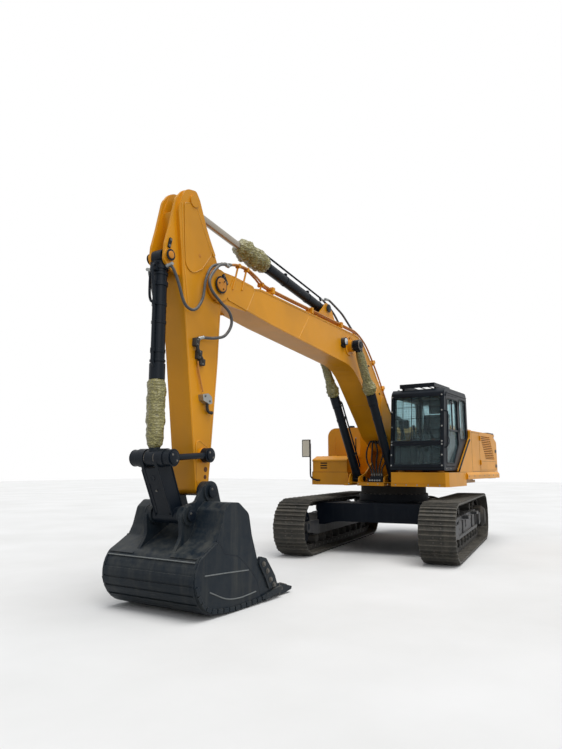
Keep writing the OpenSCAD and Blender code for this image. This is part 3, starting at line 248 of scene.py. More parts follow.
class Shader:
    """A node material under construction."""

    def __init__(self, name):
        self.material = bpy.data.materials.new(name)
        self.material.use_nodes = True
        self.tree = self.material.node_tree
        self.surface = self.tree.nodes["Principled BSDF"]
        self.coords = self.tree.nodes.new("ShaderNodeTexCoord").outputs["Object"]

    def node(self, kind, settings=None, **inputs):
        """A node with its settings; inputs go by name, or as i0, i1 by number."""
        n = self.tree.nodes.new(kind)
        for key, value in (settings or {}).items():
            setattr(n, key, value)
        for key, value in inputs.items():
            numbered = key[0] == "i" and key[1:].isdigit()
            self.put(n.inputs[int(key[1:])] if numbered else n.inputs[key.replace("_", " ")], value)
        return n

    def put(self, socket, value):
        if isinstance(value, bpy.types.NodeSocket):
            self.tree.links.new(value, socket)
        else:
            socket.default_value = value

    def noise(self, scale, detail=4, roughness=0.55, stretch=(1, 1, 1)):
        place = self.node("ShaderNodeMapping", Vector=self.coords, Scale=stretch)
        return self.node("ShaderNodeTexNoise", Vector=place.outputs[0], Scale=scale, Detail=detail,
                         Roughness=roughness).outputs["Fac"]

    def math(self, operation, a, b=0.0, clamp=False):
        settings = {"operation": operation, "use_clamp": clamp}
        return self.node("ShaderNodeMath", settings, i0=a, i1=b).outputs[0]

    def span(self, value, low, high, to_low=0.0, to_high=1.0):
        return self.node("ShaderNodeMapRange", Value=value, From_Min=low, From_Max=high, To_Min=to_low,
                         To_Max=to_high).outputs[0]

    def mix(self, factor, a, b):
        return self.node("ShaderNodeMix", {"data_type": "RGBA"}, i0=factor, i6=a, i7=b).outputs[2]

    def normal(self):
        return self.node("ShaderNodeNewGeometry").outputs["Normal"]

    def facing_up(self):
        return self.node("ShaderNodeSeparateXYZ", Vector=self.normal()).outputs[2]

    def rounding(self, radius):
        return self.node("ShaderNodeBevel", {"samples": 4}, Radius=radius).outputs[0]

    def edges(self, radius):
        """1 on sharp edges, 0 on flat faces."""
        same = self.node("ShaderNodeVectorMath", {"operation": "DOT_PRODUCT"}, i0=self.rounding(radius),
                         i1=self.normal()).outputs["Value"]
        return self.span(same, 0.995, 0.8)

    def bump(self, height, strength, distance=0.002, normal=None):
        n = self.node("ShaderNodeBump", Height=height, Strength=strength, Distance=distance)
        if normal is not None:
            self.put(n.inputs["Normal"], normal)
        return n.outputs[0]

    def finish(self, **inputs):
        for key, value in inputs.items():
            self.put(self.surface.inputs[key.replace("_", " ")], value)
        return self.material


def painted(name, base, dust, dust_share, gloss, dull, chips=None, chip_share=0.3, tone=0.12, edge=0.004,
            waves=0.25, shine=0.35):
    """Painted steel: slow tone changes, dust that settles on top, run marks, chipped edges, faint waves."""
    s = Shader(name)
    base, dust = srgb(*base), srgb(*dust)
    slow = s.noise(0.7, 3)
    mottled = s.noise(9, 8, 0.7)
    fine = s.noise(70, 6, 0.7)
    runs = s.noise(1.0, 5, 0.6, (7, 7, 0.5))
    colour = s.mix(s.span(slow, 0.35, 0.65), shade(base, 1 - tone * 1.6), shade(base, 1 + tone))
    colour = s.mix(s.span(runs, 0.52, 0.72, 0, 0.35 * dust_share + 0.05), colour, dust)
    up = s.span(s.facing_up(), 0.1, 1.0)
    settled = s.math("MULTIPLY", s.span(mottled, 0.38, 0.66),
                     s.math("ADD", s.math("MULTIPLY", up, 0.75), 0.25))
    settled = s.math("MULTIPLY", settled, dust_share, True)
    settled = s.math("ADD", settled, s.span(fine, 0.6, 0.75, 0, 0.25 * dust_share), True)
    colour = s.mix(settled, colour, dust)
    rough = s.span(s.math("ADD", settled, s.math("MULTIPLY", mottled, 0.3)), 0.1, 0.8, gloss, dull)
    if chips:
        worn = s.math("MULTIPLY", s.edges(edge * 1.5), s.span(fine, 0.45, 0.58))
        colour = s.mix(s.math("MULTIPLY", worn, chip_share), colour, srgb(*chips))
    waved = s.bump(s.noise(2.2, 2), waves, 0.01, s.rounding(edge))
    skin = s.bump(fine, 0.12, 0.0015, waved)
    return s.finish(Base_Color=colour, Roughness=rough, Normal=skin, Specular_IOR_Level=shine)


def plain(name, base, roughness, metallic, mottle, scale, bump, distance, coat=0.0, dust=None, dust_share=0.2,
          edge=0.002):
    """A material of one colour with mottling, fine bump and some dust."""
    s = Shader(name)
    base = srgb(*base)
    spots = s.noise(scale, 8, 0.65)
    fine = s.noise(scale * 9, 5, 0.6)
    colour = s.mix(s.span(spots, 0.3, 0.7), shade(base, 1 - mottle), shade(base, 1 + mottle))
    if dust:
        up = s.span(s.facing_up(), -0.2, 1.0)
        settled = s.math("MULTIPLY", s.span(spots, 0.4, 0.65), s.math("MULTIPLY", up, dust_share), True)
        colour = s.mix(settled, colour, srgb(*dust))
    rough = s.span(spots, 0.3, 0.7, roughness * 0.85, min(1, roughness * 1.2))
    skin = s.bump(fine, bump, distance, s.rounding(edge))
    return s.finish(Base_Color=colour, Roughness=rough, Normal=skin, Metallic=metallic, Coat_Weight=coat)


def tinted_glass():
    """Cab glass with faint smears."""
    s = Shader("tinted_glass")
    smear = s.noise(6, 6, 0.6)
    colour = s.mix(s.span(smear, 0.4, 0.7, 0, 0.4), srgb(200, 222, 226), srgb(170, 190, 190))
    return s.finish(Base_Color=colour, Roughness=s.span(smear, 0.3, 0.7, 0.02, 0.1), Transmission_Weight=0.92,
                    IOR=1.1)


def packing_film():
    """Packing film wound round a rod: olive yellow, creased, half clear; lighter on its raised folds and
    creases as painted highlight, darker in the hollows as painted shade.
    """
    s = Shader("packing_film")
    creases = s.node("ShaderNodeTexWave", {"bands_direction": "Z"}, Vector=s.coords, Scale=9.0,
                     Distortion=7.0, Detail=4.0, Detail_Scale=2.5).outputs["Fac"]
    crumples = s.noise(26, 8, 0.7)
    # Colour follows the crumples' bump height: the light end is painted highlight on the raised folds, the
    # dark end painted shade in the hollows
    colour = s.mix(s.span(crumples, 0.3, 0.7), srgb(84, 78, 40), srgb(150, 142, 80))
    # The creases' ridges painted lighter: painted highlight
    colour = s.mix(s.span(creases, 0.6, 1.0, 0, 0.35), colour, srgb(190, 182, 120))
    height = s.math("ADD", s.math("MULTIPLY", creases, 0.6), crumples)
    return s.finish(Base_Color=colour, Roughness=s.span(crumples, 0.3, 0.7, 0.25, 0.5),
                    Normal=s.bump(height, 0.7, 0.012), Coat_Weight=0.4, Coat_Roughness=0.2)


def lamp_lens():
    """Moulded glass of a work lamp."""
    s = Shader("lamp_lens")
    cells = s.node("ShaderNodeTexVoronoi", Vector=s.coords, Scale=60.0).outputs["Distance"]
    return s.finish(Base_Color=srgb(196, 200, 204), Roughness=0.12, Coat_Weight=0.8,
                    Normal=s.bump(cells, 0.3, 0.003))


def mirror_painted_reflection():
    """A mirror whose colour is a painted reflection of a pale yard."""
    s = Shader("mirror_painted_reflection")
    colour = s.mix(s.span(s.noise(2.0, 3), 0.3, 0.7), srgb(214, 204, 180), srgb(232, 226, 208))
    return s.finish(Base_Color=colour, Roughness=0.15, Coat_Weight=0.5)


DUST = (176, 162, 140)
SOIL = (118, 106, 90)
# Paints: colour, dust and its share, gloss, dullness where dusty, chips and their share
YELLOW = painted("yellow_paint", (218, 146, 3), (184, 144, 74), 0.16, 0.38, 0.65, (120, 84, 40), 0.25)
NAVY = painted("dark_blue_paint", (4, 11, 21), (58, 62, 64), 0.14, 0.4, 0.75, (70, 72, 74), 0.25, shine=0.12)
BLACK = painted("black_paint", (14, 22, 31), (70, 74, 76), 0.12, 0.36, 0.65, (90, 90, 88), 0.25, edge=0.003,
                shine=0.15)
CHARCOAL = painted("bucket_paint", (21, 31, 40), (112, 110, 100), 0.3, 0.36, 0.75, (112, 114, 110), 0.5,
                   shine=0.15)
FRAME_GREY = painted("frame_paint", (46, 48, 52), (122, 116, 104), 0.6, 0.5, 0.85, (96, 92, 84))
GREY_COAT = painted("counterweight_paint", (52, 55, 60), (120, 116, 106), 0.3, 0.45, 0.75,
                    (110, 108, 100), 0.2)
# The track shoes' light edge chips are partly wear and partly painted highlight
SHOE = painted("track_shoe_steel", (50, 49, 46), (116, 110, 98), 0.75, 0.5, 0.9, (140, 134, 122), 0.75,
               tone=0.2, waves=0.4)
PIPE = painted("pipe_paint", (190, 124, 48), (150, 128, 98), 0.4, 0.35, 0.6, (80, 74, 66), 0.4, edge=0.001)
WELD = painted("weld_paint", (222, 160, 52), (190, 160, 100), 0.25, 0.35, 0.6, edge=0.001)
COVER = painted("cover_paint", (204, 130, 16), (170, 130, 90), 0.2, 0.35, 0.6, (100, 70, 44), 0.4, edge=0.002)
# Others: colour, roughness, metal, mottling and its scale, bump and its depth
CAST = plain("cast_steel", (50, 49, 47), 0.75, 0.3, 0.3, 14, 0.5, 0.003, dust=SOIL, dust_share=0.6)
WORN = plain("worn_steel", (96, 94, 90), 0.6, 0.6, 0.25, 30, 0.4, 0.002, dust=SOIL, dust_share=0.5)
ROD = plain("rod_chrome", (158, 150, 138), 0.34, 1.0, 0.06, 5, 0.03, 0.0005)
STEEL = plain("pin_steel", (110, 108, 104), 0.45, 0.85, 0.2, 20, 0.2, 0.001, dust=DUST)
RUBBER = plain("hose_rubber", (66, 68, 70), 0.5, 0, 0.15, 20, 0.3, 0.0008, dust=DUST, dust_share=0.5)
ZINC = plain("zinc_fitting", (150, 152, 150), 0.4, 0.9, 0.12, 30, 0.15, 0.0006)
PLASTIC = plain("black_plastic", (30, 31, 33), 0.55, 0, 0.1, 20, 0.2, 0.0006, dust=DUST)
SEAL = plain("rubber_seal", (20, 20, 21), 0.8, 0, 0.1, 20, 0.1, 0.0005)
SEAT = plain("seat_cloth", (44, 46, 50), 0.95, 0, 0.2, 60, 0.6, 0.001)
RUST = plain("brown_plug", (84, 48, 16), 0.7, 0, 0.3, 30, 0.3, 0.001)
BEAD = plain("weld_bead", (112, 116, 116), 0.45, 0.5, 0.15, 40, 0.3, 0.001)
# Painted shade for seams, slots, grooves and the sheets behind louvres; also the black of the air filter and
# battery
SHADE_AND_BLACK = plain("painted_shade_and_black_parts", (18, 18, 19), 0.9, 0, 0.1, 20, 0.1, 0.0005)
SCREEN = plain("display_face", (22, 30, 34), 0.15, 0, 0.05, 8, 0.02, 0.0002, coat=0.6)
GLASS, FILM, LENS, MIRROR_REFLECTION = tinted_glass(), packing_film(), lamp_lens(), mirror_painted_reflection()

NODE_MATERIALS = (
    (NAVY, "carbody carbody_legs idlers"),
    (FRAME_GREY, "track_frame_left track_frame_right"),
    (SHOE, "track_left track_right"),
    (CAST, "sprockets track_rollers swing_bearing engine_block swing_drive"),
    (YELLOW, "platform bay_frame left_panel right_panel fuel_tank tool_box tool_box_lid hood left_rear_door"),
    (YELLOW, "right_door boom stick"),
    (GREY_COAT, "counterweight"),
    (STEEL, "exhaust boom_pins"),
    (BLACK, "cab_shell cab_guard cab_door handrails boom_cylinder_tubes stick_cylinder_tube"),
    (BLACK, "bucket_cylinder_tube side_links h_link"),
    (GLASS, "cab_glass door_glass"),
    (SEAT, "seat"),
    (PLASTIC, "consoles side_mirror boom_lamp"),
    (PIPE, "boom_pipes"),
    (ROD, "boom_cylinder_rods stick_cylinder_rod bucket_cylinder_rod"),
    (FILM, "boom_rod_wraps stick_rod_wrap bucket_rod_wrap"),
    (ZINC, "stick_pipes"),
    (CHARCOAL, "bucket bucket_teeth"),
)
for material, node_names in NODE_MATERIALS:
    for node_name in node_names.split():
        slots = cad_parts[node_name].data.materials
        slots.clear()
        slots.append(material)


# Pieces


class Piece:
    """A mesh that collects simple solids, then rides on a body."""

    def __init__(self, name, body, *materials):
        self.name, self.body, self.materials = name, body, materials
        self.points, self.faces, self.slots = [], [], []

    def add(self, points, faces, slot=0):
        base = len(self.points)
        self.points += [Vector(p) for p in points]
        self.faces += [[base + i for i in f] for f in faces]
        self.slots += [slot] * len(faces)

    def skin(self, rings, slot=0):
        """A closed skin through rings of points, with a cap at both ends."""
        n, last = len(rings[0]), len(rings) - 1
        faces = [[i * n + k, i * n + (k + 1) % n, (i + 1) * n + (k + 1) % n, (i + 1) * n + k]
                 for i in range(last) for k in range(n)]
        caps = [list(range(n))[::-1], [last * n + k for k in range(n)]]
        self.add([p for ring in rings for p in ring], faces + caps, slot)

    def prism(self, outline, place, low, high, slot=0):
        """A 2D outline swept from low to high; place maps (a, b, height) to space."""
        self.skin([[place(a, b, h) for a, b in outline] for h in (low, high)], slot)

    def slab(self, low, high, slot=0):
        """A block between two corners measured from the swing axis."""
        self.prism(box(low[0], low[2], high[0], high[2]), facing_y, low[1], high[1], slot)

    def tube(self, path, radius, sides=14, slot=0):
        """A round bar or hose along a path."""
        up = Vector((0.13, 0.31, 0.94))
        rings = []
        for i, centre in enumerate(path):
            way = (path[min(len(path) - 1, i + 1)] - path[max(0, i - 1)]).normalized()
            up = up - way * up.dot(way)
            up = up.normalized() if up.length > 1e-6 else way.orthogonal().normalized()
            side = up.cross(way).normalized()
            rings.append([centre + radius * (c * side + s * way.cross(side)) for c, s in circle(sides)])
        self.skin(rings, slot)

    def pipe(self, place, rows, radius, sides=14, slot=0, steps=0):
        """A tube through rows of coordinates that place maps to space, smoothed where steps are given."""
        path = [place(*row) for row in rows]
        self.tube(curve(path, steps) if steps else path, radius, sides, slot)

    def bead(self, outline, place, height, radius, slot=0, sides=6, closed=True):
        """A weld bead or seal along an outline, at a height over its face."""
        ends = outline[:1] if closed else []
        self.tube([place(a, b, height) for a, b in outline + ends], radius, sides, slot)

    def welded_plate(self, rows, place, slot):
        """A thin plate with a weld bead round it."""
        outline = rounded(rows)
        self.prism(outline, place, 0, 0.008)
        self.bead(outline, place, 0.007, 0.0055, slot)

    def lathe(self, start, axis, profile, sides=24, slot=0):
        """A turned form: rows of distance along the axis and radius."""
        axis = Vector(axis).normalized()
        up = axis.orthogonal().normalized()
        ways = [c * up + s * axis.cross(up) for c, s in circle(sides)]
        self.skin([[start + axis * distance + radius * way for way in ways]
                   for distance, radius in profile], slot)

    def bolt(self, at, axis, size, slot, washer=True):
        """A hexagon head on its washer."""
        if washer:
            self.lathe(at, axis, [(0, size * 1.35), (size * 0.22, size * 1.35)], 18, slot)
        self.lathe(at + Vector(axis).normalized() * size * 0.2, axis,
                   [(0, size), (size * 0.6, size), (size * 0.75, size * 0.82)], 6, slot)

    def done(self, sharp=30):
        """The object, with edges sharper than an angle in degrees kept sharp."""
        mesh = bpy.data.meshes.new(self.name)
        mesh.from_pydata(self.points, [], self.faces)
        for m in self.materials:
            mesh.materials.append(m)
        mesh.polygons.foreach_set("material_index", self.slots)
        mesh.polygons.foreach_set("use_smooth", [True] * len(self.faces))
        mesh.update()
        mesh.set_sharp_from_angle(angle=math.radians(sharp))
        piece = bpy.data.objects.new(self.name, mesh)
        bpy.context.scene.collection.objects.link(piece)
        if self.body:
            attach(piece, self.body)
        return piece


def hose(piece, points, radius, sides=14, far_end=True):
    """A rubber hose through points, with crimped fittings at its ends."""
    path = curve(points, 10)
    piece.tube(path, radius, sides, 0)
    for at, after in ((path[0], path[2]), (path[-1], path[-3]))[:2 if far_end else 1]:
        piece.lathe(at, after - at, [(0, radius * 0.9), (0.001, radius * 1.35), (0.03, radius * 1.35),
                                     (0.031, radius * 1.15), (0.09, radius * 1.15)], 14, 1)


# Undercarriage

LOOP_R = TRACK_H / 2 - GROUSER_H - SHOE_T
LOOP_LEN = 2 * WHEELBASE + 2 * math.pi * LOOP_R
MID_Z = TRACK_H / 2
SIDE_AXIS = Vector((*turned((0, 1), TRACK_TURN), 0))


def loop_at(s):
    """A point of the shoes' inner face in x and z, s along the track's loop."""
    half, reach = math.pi * LOOP_R, WHEELBASE / 2
    t = s % LOOP_LEN
    if t < WHEELBASE:
        return Vector((t - reach, MID_Z - LOOP_R))
    if t < WHEELBASE + half:
        a = (t - WHEELBASE) / LOOP_R - math.pi / 2
        return Vector((reach + LOOP_R * math.cos(a), MID_Z + LOOP_R * math.sin(a)))
    if t < 2 * WHEELBASE + half:
        return Vector((1.5 * WHEELBASE + half - t, MID_Z + LOOP_R))
    a = (t - 2 * WHEELBASE - half) / LOOP_R + math.pi / 2
    return Vector((-reach + LOOP_R * math.cos(a), MID_Z + LOOP_R * math.sin(a)))


# Share of the shoe's pitch and height over its inner face
SHOE_ROWS = [(-0.03, 0.004), (-0.03, 0.015), (0.04, 0.023), (0.07, 0.052), (0.085, 0.054), (0.125, 0.054),
             (0.14, 0.05), (0.18, 0.024), (0.42, 0.021), (0.45, 0.046), (0.465, 0.049), (0.5, 0.049),
             (0.515, 0.046), (0.55, 0.021), (0.77, 0.022), (0.805, 0.051), (0.82, 0.054), (0.86, 0.054),
             (0.875, 0.05), (0.92, 0.02), (1.02, 0.008), (1.02, -0.004), (0.9, 0.0), (0.1, 0.0)]
LINK_ROWS = [(-0.12, -0.03), (-0.1, -0.08), (0.04, -0.106), (0.24, -0.1), (0.76, -0.1), (0.96, -0.106),
             (1.1, -0.08), (1.12, -0.03), (0.86, -0.004), (0.14, -0.004)]
# Distance across a shoe, and how high its grousers stand there
STATIONS = [(-SHOE_W / 2, 0.5), (-SHOE_W / 2 + 0.02, 0.9), (-0.1, 1.0), (0.1, 0.97), (SHOE_W / 2 - 0.02, 0.9),
            (SHOE_W / 2, 0.5)]


def track(name, side):
    """Shoes with three grousers, bolted to chain links with their pins."""
    piece = Piece(name, "undercarriage", SHOE, CAST, WORN)
    pitch = LOOP_LEN / SHOES
    for i in range(SHOES):
        start = loop_at(i * pitch)
        along = (loop_at((i + 1) * pitch) - start).normalized()
        out = Vector((along.y, -along.x))
        wear = 0.003 * noise.noise(Vector((i * 0.7, side, 0.3)))

        def place(share, h, y):
            p = start + along * share * pitch + out * h
            return tracks(p.x, side * GAUGE / 2 + y, p.y)

        def section(y, share):
            """The shoe's outline at a distance across, with grousers at a share of their height."""
            return [place(a, h if h <= SHOE_T else SHOE_T + (h - SHOE_T + wear) * share, y)
                    for a, h in SHOE_ROWS]

        piece.skin([section(y, share) for y, share in STATIONS])
        normal = Vector((*turned((out.x, 0), TRACK_TURN), out.y))
        for share in (0.3, 0.66):
            for y in (-0.062, 0.062):
                piece.bolt(place(share, 0.02, y), normal, 0.013, 2, washer=False)
        for y in (-0.094, 0.07):
            piece.prism(LINK_ROWS, place, y, y + 0.024, 1)
        piece.lathe(place(0, -0.055, -0.1), SIDE_AXIS, [(0, 0.02), (0.03, 0.02), (0.031, 0.029),
                                                        (0.169, 0.029), (0.17, 0.02), (0.2, 0.02)], 12, 2)
    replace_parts(piece.done(), "track_left" if side > 0 else "track_right")


track("track_chain_left", 1)
track("track_chain_right", -1)


def wheel_details(piece, side):
    """Hub covers, bolt rings and roller caps of one track."""
    middle = side * GAUGE / 2
    for face in (-1, 1):
        out = SIDE_AXIS * face
        piece.lathe(tracks(WHEELBASE / 2, middle + face * 0.1155, MID_Z), out,
                    [(0, 0.125), (0.014, 0.12), (0.02, 0.08), (0.028, 0.07)], 32, 2)
        for x, z in circle(8, 0.2, (WHEELBASE / 2, MID_Z)):
            piece.bolt(tracks(x, middle + face * 0.111, z), out, 0.012, 1)
        for i in range(8):
            x = 0.56 - WHEELBASE / 2 + i * (WHEELBASE - 1.12) / 7
            piece.lathe(tracks(x, middle + face * 0.141, GROUSER_H + SHOE_T + CHAIN_H + 0.0903), out,
                        [(0, 0.07), (0.01, 0.066), (0.012, 0.04), (0.022, 0.036)], 20, 3)
    # Travel drive cover on the outer side
    out = SIDE_AXIS * side
    piece.lathe(tracks(-WHEELBASE / 2, middle + side * 0.264, MID_Z), out,
                [(0, 0.168), (0.012, 0.165), (0.022, 0.12), (0.03, 0.05), (0.034, 0)], 36, 3)
    for x, z in circle(12, 0.195, (-WHEELBASE / 2, MID_Z)):
        piece.bolt(tracks(x, middle + side * 0.205, z), out, 0.014, 1)


def frame_details(piece, side):
    """Covers, ribs, step treads, bolts and weld beads of one track frame."""
    middle = side * GAUGE / 2
    face_y = middle + side * 0.15
    out = SIDE_AXIS * side

    def place(a, b, h):
        return tracks(a, face_y + side * h, b)

    for x0, x1, z0, z1 in ((0.75, 1.15, 0.47, 0.64), (-0.5, 0.25, 0.46, 0.6)):
        piece.prism(box(x0, z0, x1, z1), place, 0.0, 0.008)
        for x in (x0 + 0.03, x1 - 0.03):
            for z in (z0 + 0.03, z1 - 0.03):
                piece.bolt(place(x, z, 0.008), out, 0.01, 1)
    for x in (-1.2, -0.62, 0.68, 1.25):
        piece.prism(box(x, 0.39, x + 0.02, 0.63), place, 0.0, 0.024)
    for x0 in (-0.95, 0.3):
        for i in range(5):
            for k in range(2):
                piece.lathe(place(x0 + 0.04 + i * 0.06, 0.69, 0.03 + k * 0.05), UP,
                            [(0, 0.016), (0.006, 0.013)], 10)
    for i in range(7):
        piece.bolt(tracks(-1.05 + i * 0.35, middle + side * 0.1, 0.7), UP, 0.012, 1)
    piece.lathe(place(WHEELBASE / 2 - 0.38, 0.42, 0), out, [(0, 0.05), (0.02, 0.046)], 20)
    for x0, x1 in ((1.02, 1.42), (-1.42, -1.02)):
        for z in (0.922, 0.518):
            y = side * (GAUGE / 2 - 0.15)
            piece.tube([tracks(x0 + (x1 - x0) * k / 12, y, z) for k in range(13)], 0.009, 8, 2)


def undercarriage_detail():
    """Small parts of both tracks, and the bolts of the swing bearing."""
    piece = Piece("undercarriage_detail", "undercarriage", FRAME_GREY, WORN, NAVY, CAST)
    for side in (-1, 1):
        wheel_details(piece, side)
        frame_details(piece, side)
    for c, s in circle(40):
        piece.bolt(tracks(0.68 * c, 0.68 * s, 1.06), UP, 0.014, 1)
        piece.lathe(house(0.6 * c, 0.6 * s, 1.225), -UP, [(0, 0.014), (0.02, 0.014)], 6, 1)
    piece.done()


undercarriage_detail()


# Arm: cylinders and their films


def crumple(piece, line, y, rows, seed, depth=0.2, over_head=0.0):
    """Film round a rod, from rows of distance and radius; up to over_head it lies round the tube."""
    axis = line_axis(line)
    up = axis.cross(ACROSS)
    first, last = rows[0][0], rows[-1][0]
    count = int((last - first) / 0.009) + 1
    rings = []
    for i in range(count + 1):
        s = first + (last - first) * i / count
        k = max(0, sum(1 for row in rows if row[0] <= s) - 1)
        a, b = rows[k], rows[min(k + 1, len(rows) - 1)]
        t = 0 if b[0] == a[0] else (s - a[0]) / (b[0] - a[0])
        radius = a[1] + (b[1] - a[1]) * (3 * t * t - 2 * t ** 3)
        least = 0.094 if s < over_head else 0.056
        ring = []
        for c, d in circle(56):
            way = c * ACROSS + d * up
            q = way * 1.6 + axis * s * 9 + Vector((seed, 0, 0))
            folds = noise.noise(q) + 0.5 * noise.noise(q * 2.3 + Vector((3, 1, 7)))
            crease = 1 - abs(noise.noise(Vector((q.x * 1.4, q.y * 1.4, q.z * 1.1)) * 1.9)) * 2.4
            r = radius * (1 + depth * folds + depth * 0.55 * crease)
            ring.append(on_line(line, s, y) + way * max(least, r))
        rings.append(ring)
    piece.skin(rings)


def films():
    """Packing film on the rods, bunched at the glands."""
    length = line_length("boom")
    boom = Piece("film_on_boom_rods", "boom_rods", FILM)
    for y, seed in ((-CYL_Y, 2.0), (CYL_Y, 11.0)):
        crumple(boom, "boom", y, [(1.826, 0.07), (1.86, 0.1), (1.94, 0.112), (2.03, 0.09), (2.12, 0.073),
                                  (2.4, 0.07), (length - 0.16, 0.066), (length - 0.105, 0.058)], seed)
    piece = boom.done(180)
    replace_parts(piece, "boom_rod_wraps")
    line_axis("boom")
    on_line("boom", length - 0.1, 0)
    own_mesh(piece)
    stick = Piece("film_on_stick_rod", "stick_tube", FILM)
    crumple(stick, "stick", 0, [(1.8, 0.1), (1.86, 0.125), (1.98, 0.15), (2.1, 0.145), (2.2, 0.115),
                                (2.3, 0.15), (2.4, 0.13), (2.47, 0.06)], 23.0, 0.2, 2.14)
    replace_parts(stick.done(180), "stick_rod_wrap")
    length = line_length("bucket")
    bucket = Piece("film_on_bucket_rod", "bucket_rod", FILM)
    crumple(bucket, "bucket", 0, [(1.476, 0.088), (1.52, 0.1), (1.7, 0.104), (1.9, 0.1), (2.1, 0.098),
                                  (length - 0.16, 0.085), (length - 0.11, 0.06)], 37.0, 0.12)
    piece = bucket.done(180)
    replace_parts(piece, "bucket_rod_wrap")
    line_axis("bucket")
    on_line("bucket", length - 0.1, 0)
    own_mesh(piece)


films()


def cylinder_head(piece, line, y, s, r):
    """Collars and bolts round a cylinder's head; s is the end of its tube."""
    axis = line_axis(line)
    piece.lathe(on_line(line, s - 0.2, y), axis, [(0, r + 0.002), (0.004, r + 0.009), (0.026, r + 0.009),
                                                  (0.03, r + 0.002)], 40)
    piece.lathe(on_line(line, s + 0.03, y), axis, [(0, r + 0.008), (0.004, r - 0.004), (0.01, r - 0.022),
                                                   (0.016, r - 0.024)], 40)
    for c, d in circle(10, r - 0.012, first=0.5):
        piece.bolt(on_line(line, s + 0.033, y) + c * ACROSS + d * axis.cross(ACROSS), axis, 0.008, 1,
                   washer=False)


def tube_clamp(piece, line, y, s, r, across, off):
    """A strap round the tube that holds a pipe across and off from its middle."""
    axis = line_axis(line)
    middle = on_line(line, s, y)
    piece.lathe(middle, axis, [(0, r + 0.001), (0.002, r + 0.006), (0.04, r + 0.006), (0.042, r + 0.001)], 40)
    out = (on_line(line, s, y + across, off) - middle).normalized()
    square = axis.cross(out).normalized()
    piece.prism(box(-0.022, 0.0, 0.022, 0.05), lambda a, b, h: middle + out * (r + b) + square * a + axis * h,
                0.0, 0.042)


def boom_cylinder_fittings():
    """Heads, pipes with clamps and ports, and eye covers of the boom cylinders."""
    r = 0.08
    piece = Piece("boom_cylinder_fittings", "boom_tubes", BLACK, STEEL)
    for side in (-1, 1):
        y = side * CYL_Y
        across = -side * 0.06
        cylinder_head(piece, "boom", y, 1.79, r)
        rows = ((0.22, 0.075), (0.27, 0.105), (0.35, 0.108), (1.5, 0.108), (1.62, 0.105), (1.68, 0.075))
        piece.tube(curve([on_line("boom", s, y + across, off) for s, off in rows], 6), 0.015, 12)
        for s in (0.5, 1.3):
            tube_clamp(piece, "boom", y, s, r, across, 0.108)
        piece.lathe(on_line("boom", 1.66, y + across * 0.9, 0.06),
                    Vector((0, -side * 0.5, 0)) - line_axis("boom").cross(ACROSS),
                    [(0, 0.03), (0.03, 0.03), (0.035, 0.024), (0.05, 0.024)], 20)
        for face in (-1, 1):
            piece.lathe(on_line("boom", 0, y + face * 0.0755), ACROSS * face,
                        [(0, 0.084), (0.006, 0.08), (0.007, 0.05)], 36)
    piece.done()


def stick_cylinder_fittings():
    """Head, two pipes and clamps of the stick cylinder."""
    piece = Piece("stick_cylinder_fittings", "stick_tube", BLACK, STEEL)
    cylinder_head(piece, "stick", 0, 2.1, 0.08)
    rows = ((0.16, 0.08), (0.2, 0.125), (0.3, 0.135), (1.8, 0.135), (1.92, 0.13), (1.99, 0.08))
    for across in (-0.045, 0.045):
        piece.tube(curve([on_line("stick", s, across * 1.2, off) for s, off in rows], 6), 0.015, 12)
    for s in (0.5, 1.2, 1.7):
        tube_clamp(piece, "stick", 0, s, 0.08, 0.0, 0.135)
    piece.done()


def bucket_cylinder_fittings():
    """Head, collars near the eye, pipe loops, clamps and port block of the bucket cylinder."""
    r = 0.083
    piece = Piece("bucket_cylinder_fittings", "bucket_tube", BLACK, STEEL)
    cylinder_head(piece, "bucket", 0, 1.44, r)
    for s, h, w in ((0.115, 0.016, 0.045), (0.2, 0.01, 0.03), (0.31, 0.013, 0.05), (0.78, 0.006, 0.035)):
        piece.lathe(on_line("bucket", s, 0), line_axis("bucket"),
                    [(0, r), (0.004, r + h), (w, r + h), (w + 0.004, r)], 40)
    front = ((0.14, 0.08), (0.13, 0.14), (0.18, 0.16), (0.3, 0.15), (0.45, 0.125), (0.6, 0.118), (1.2, 0.118),
             (1.28, 0.112), (1.33, 0.08))
    piece.tube(curve([on_line("bucket", s, 0.03, off) for s, off in front], 8), 0.016)
    for s in (0.56, 1.12):
        tube_clamp(piece, "bucket", 0, s, r, 0.03, 0.118)
    beside = ((0.15, -0.08), (0.16, -0.115), (0.22, -0.135), (0.35, -0.138), (0.46, -0.132), (0.52, -0.11),
              (0.54, -0.08))
    piece.tube(curve([on_line("bucket", s, y, 0.03) for s, y in beside], 8), 0.016)
    piece.prism(box(-0.045, -0.05, 0.045, 0.05), lambda a, b, h: on_line("bucket", 0.14 + b, a, 0.075 + h),
                0.0, 0.05)
    piece.lathe(on_line("bucket", 0.14, 0.07), ACROSS,
                [(0, 0.034), (0.03, 0.034), (0.035, 0.026), (0.055, 0.026)], 22)
    piece.done()


boom_cylinder_fittings()
stick_cylinder_fittings()
bucket_cylinder_fittings()


# Arm: hoses and pipes

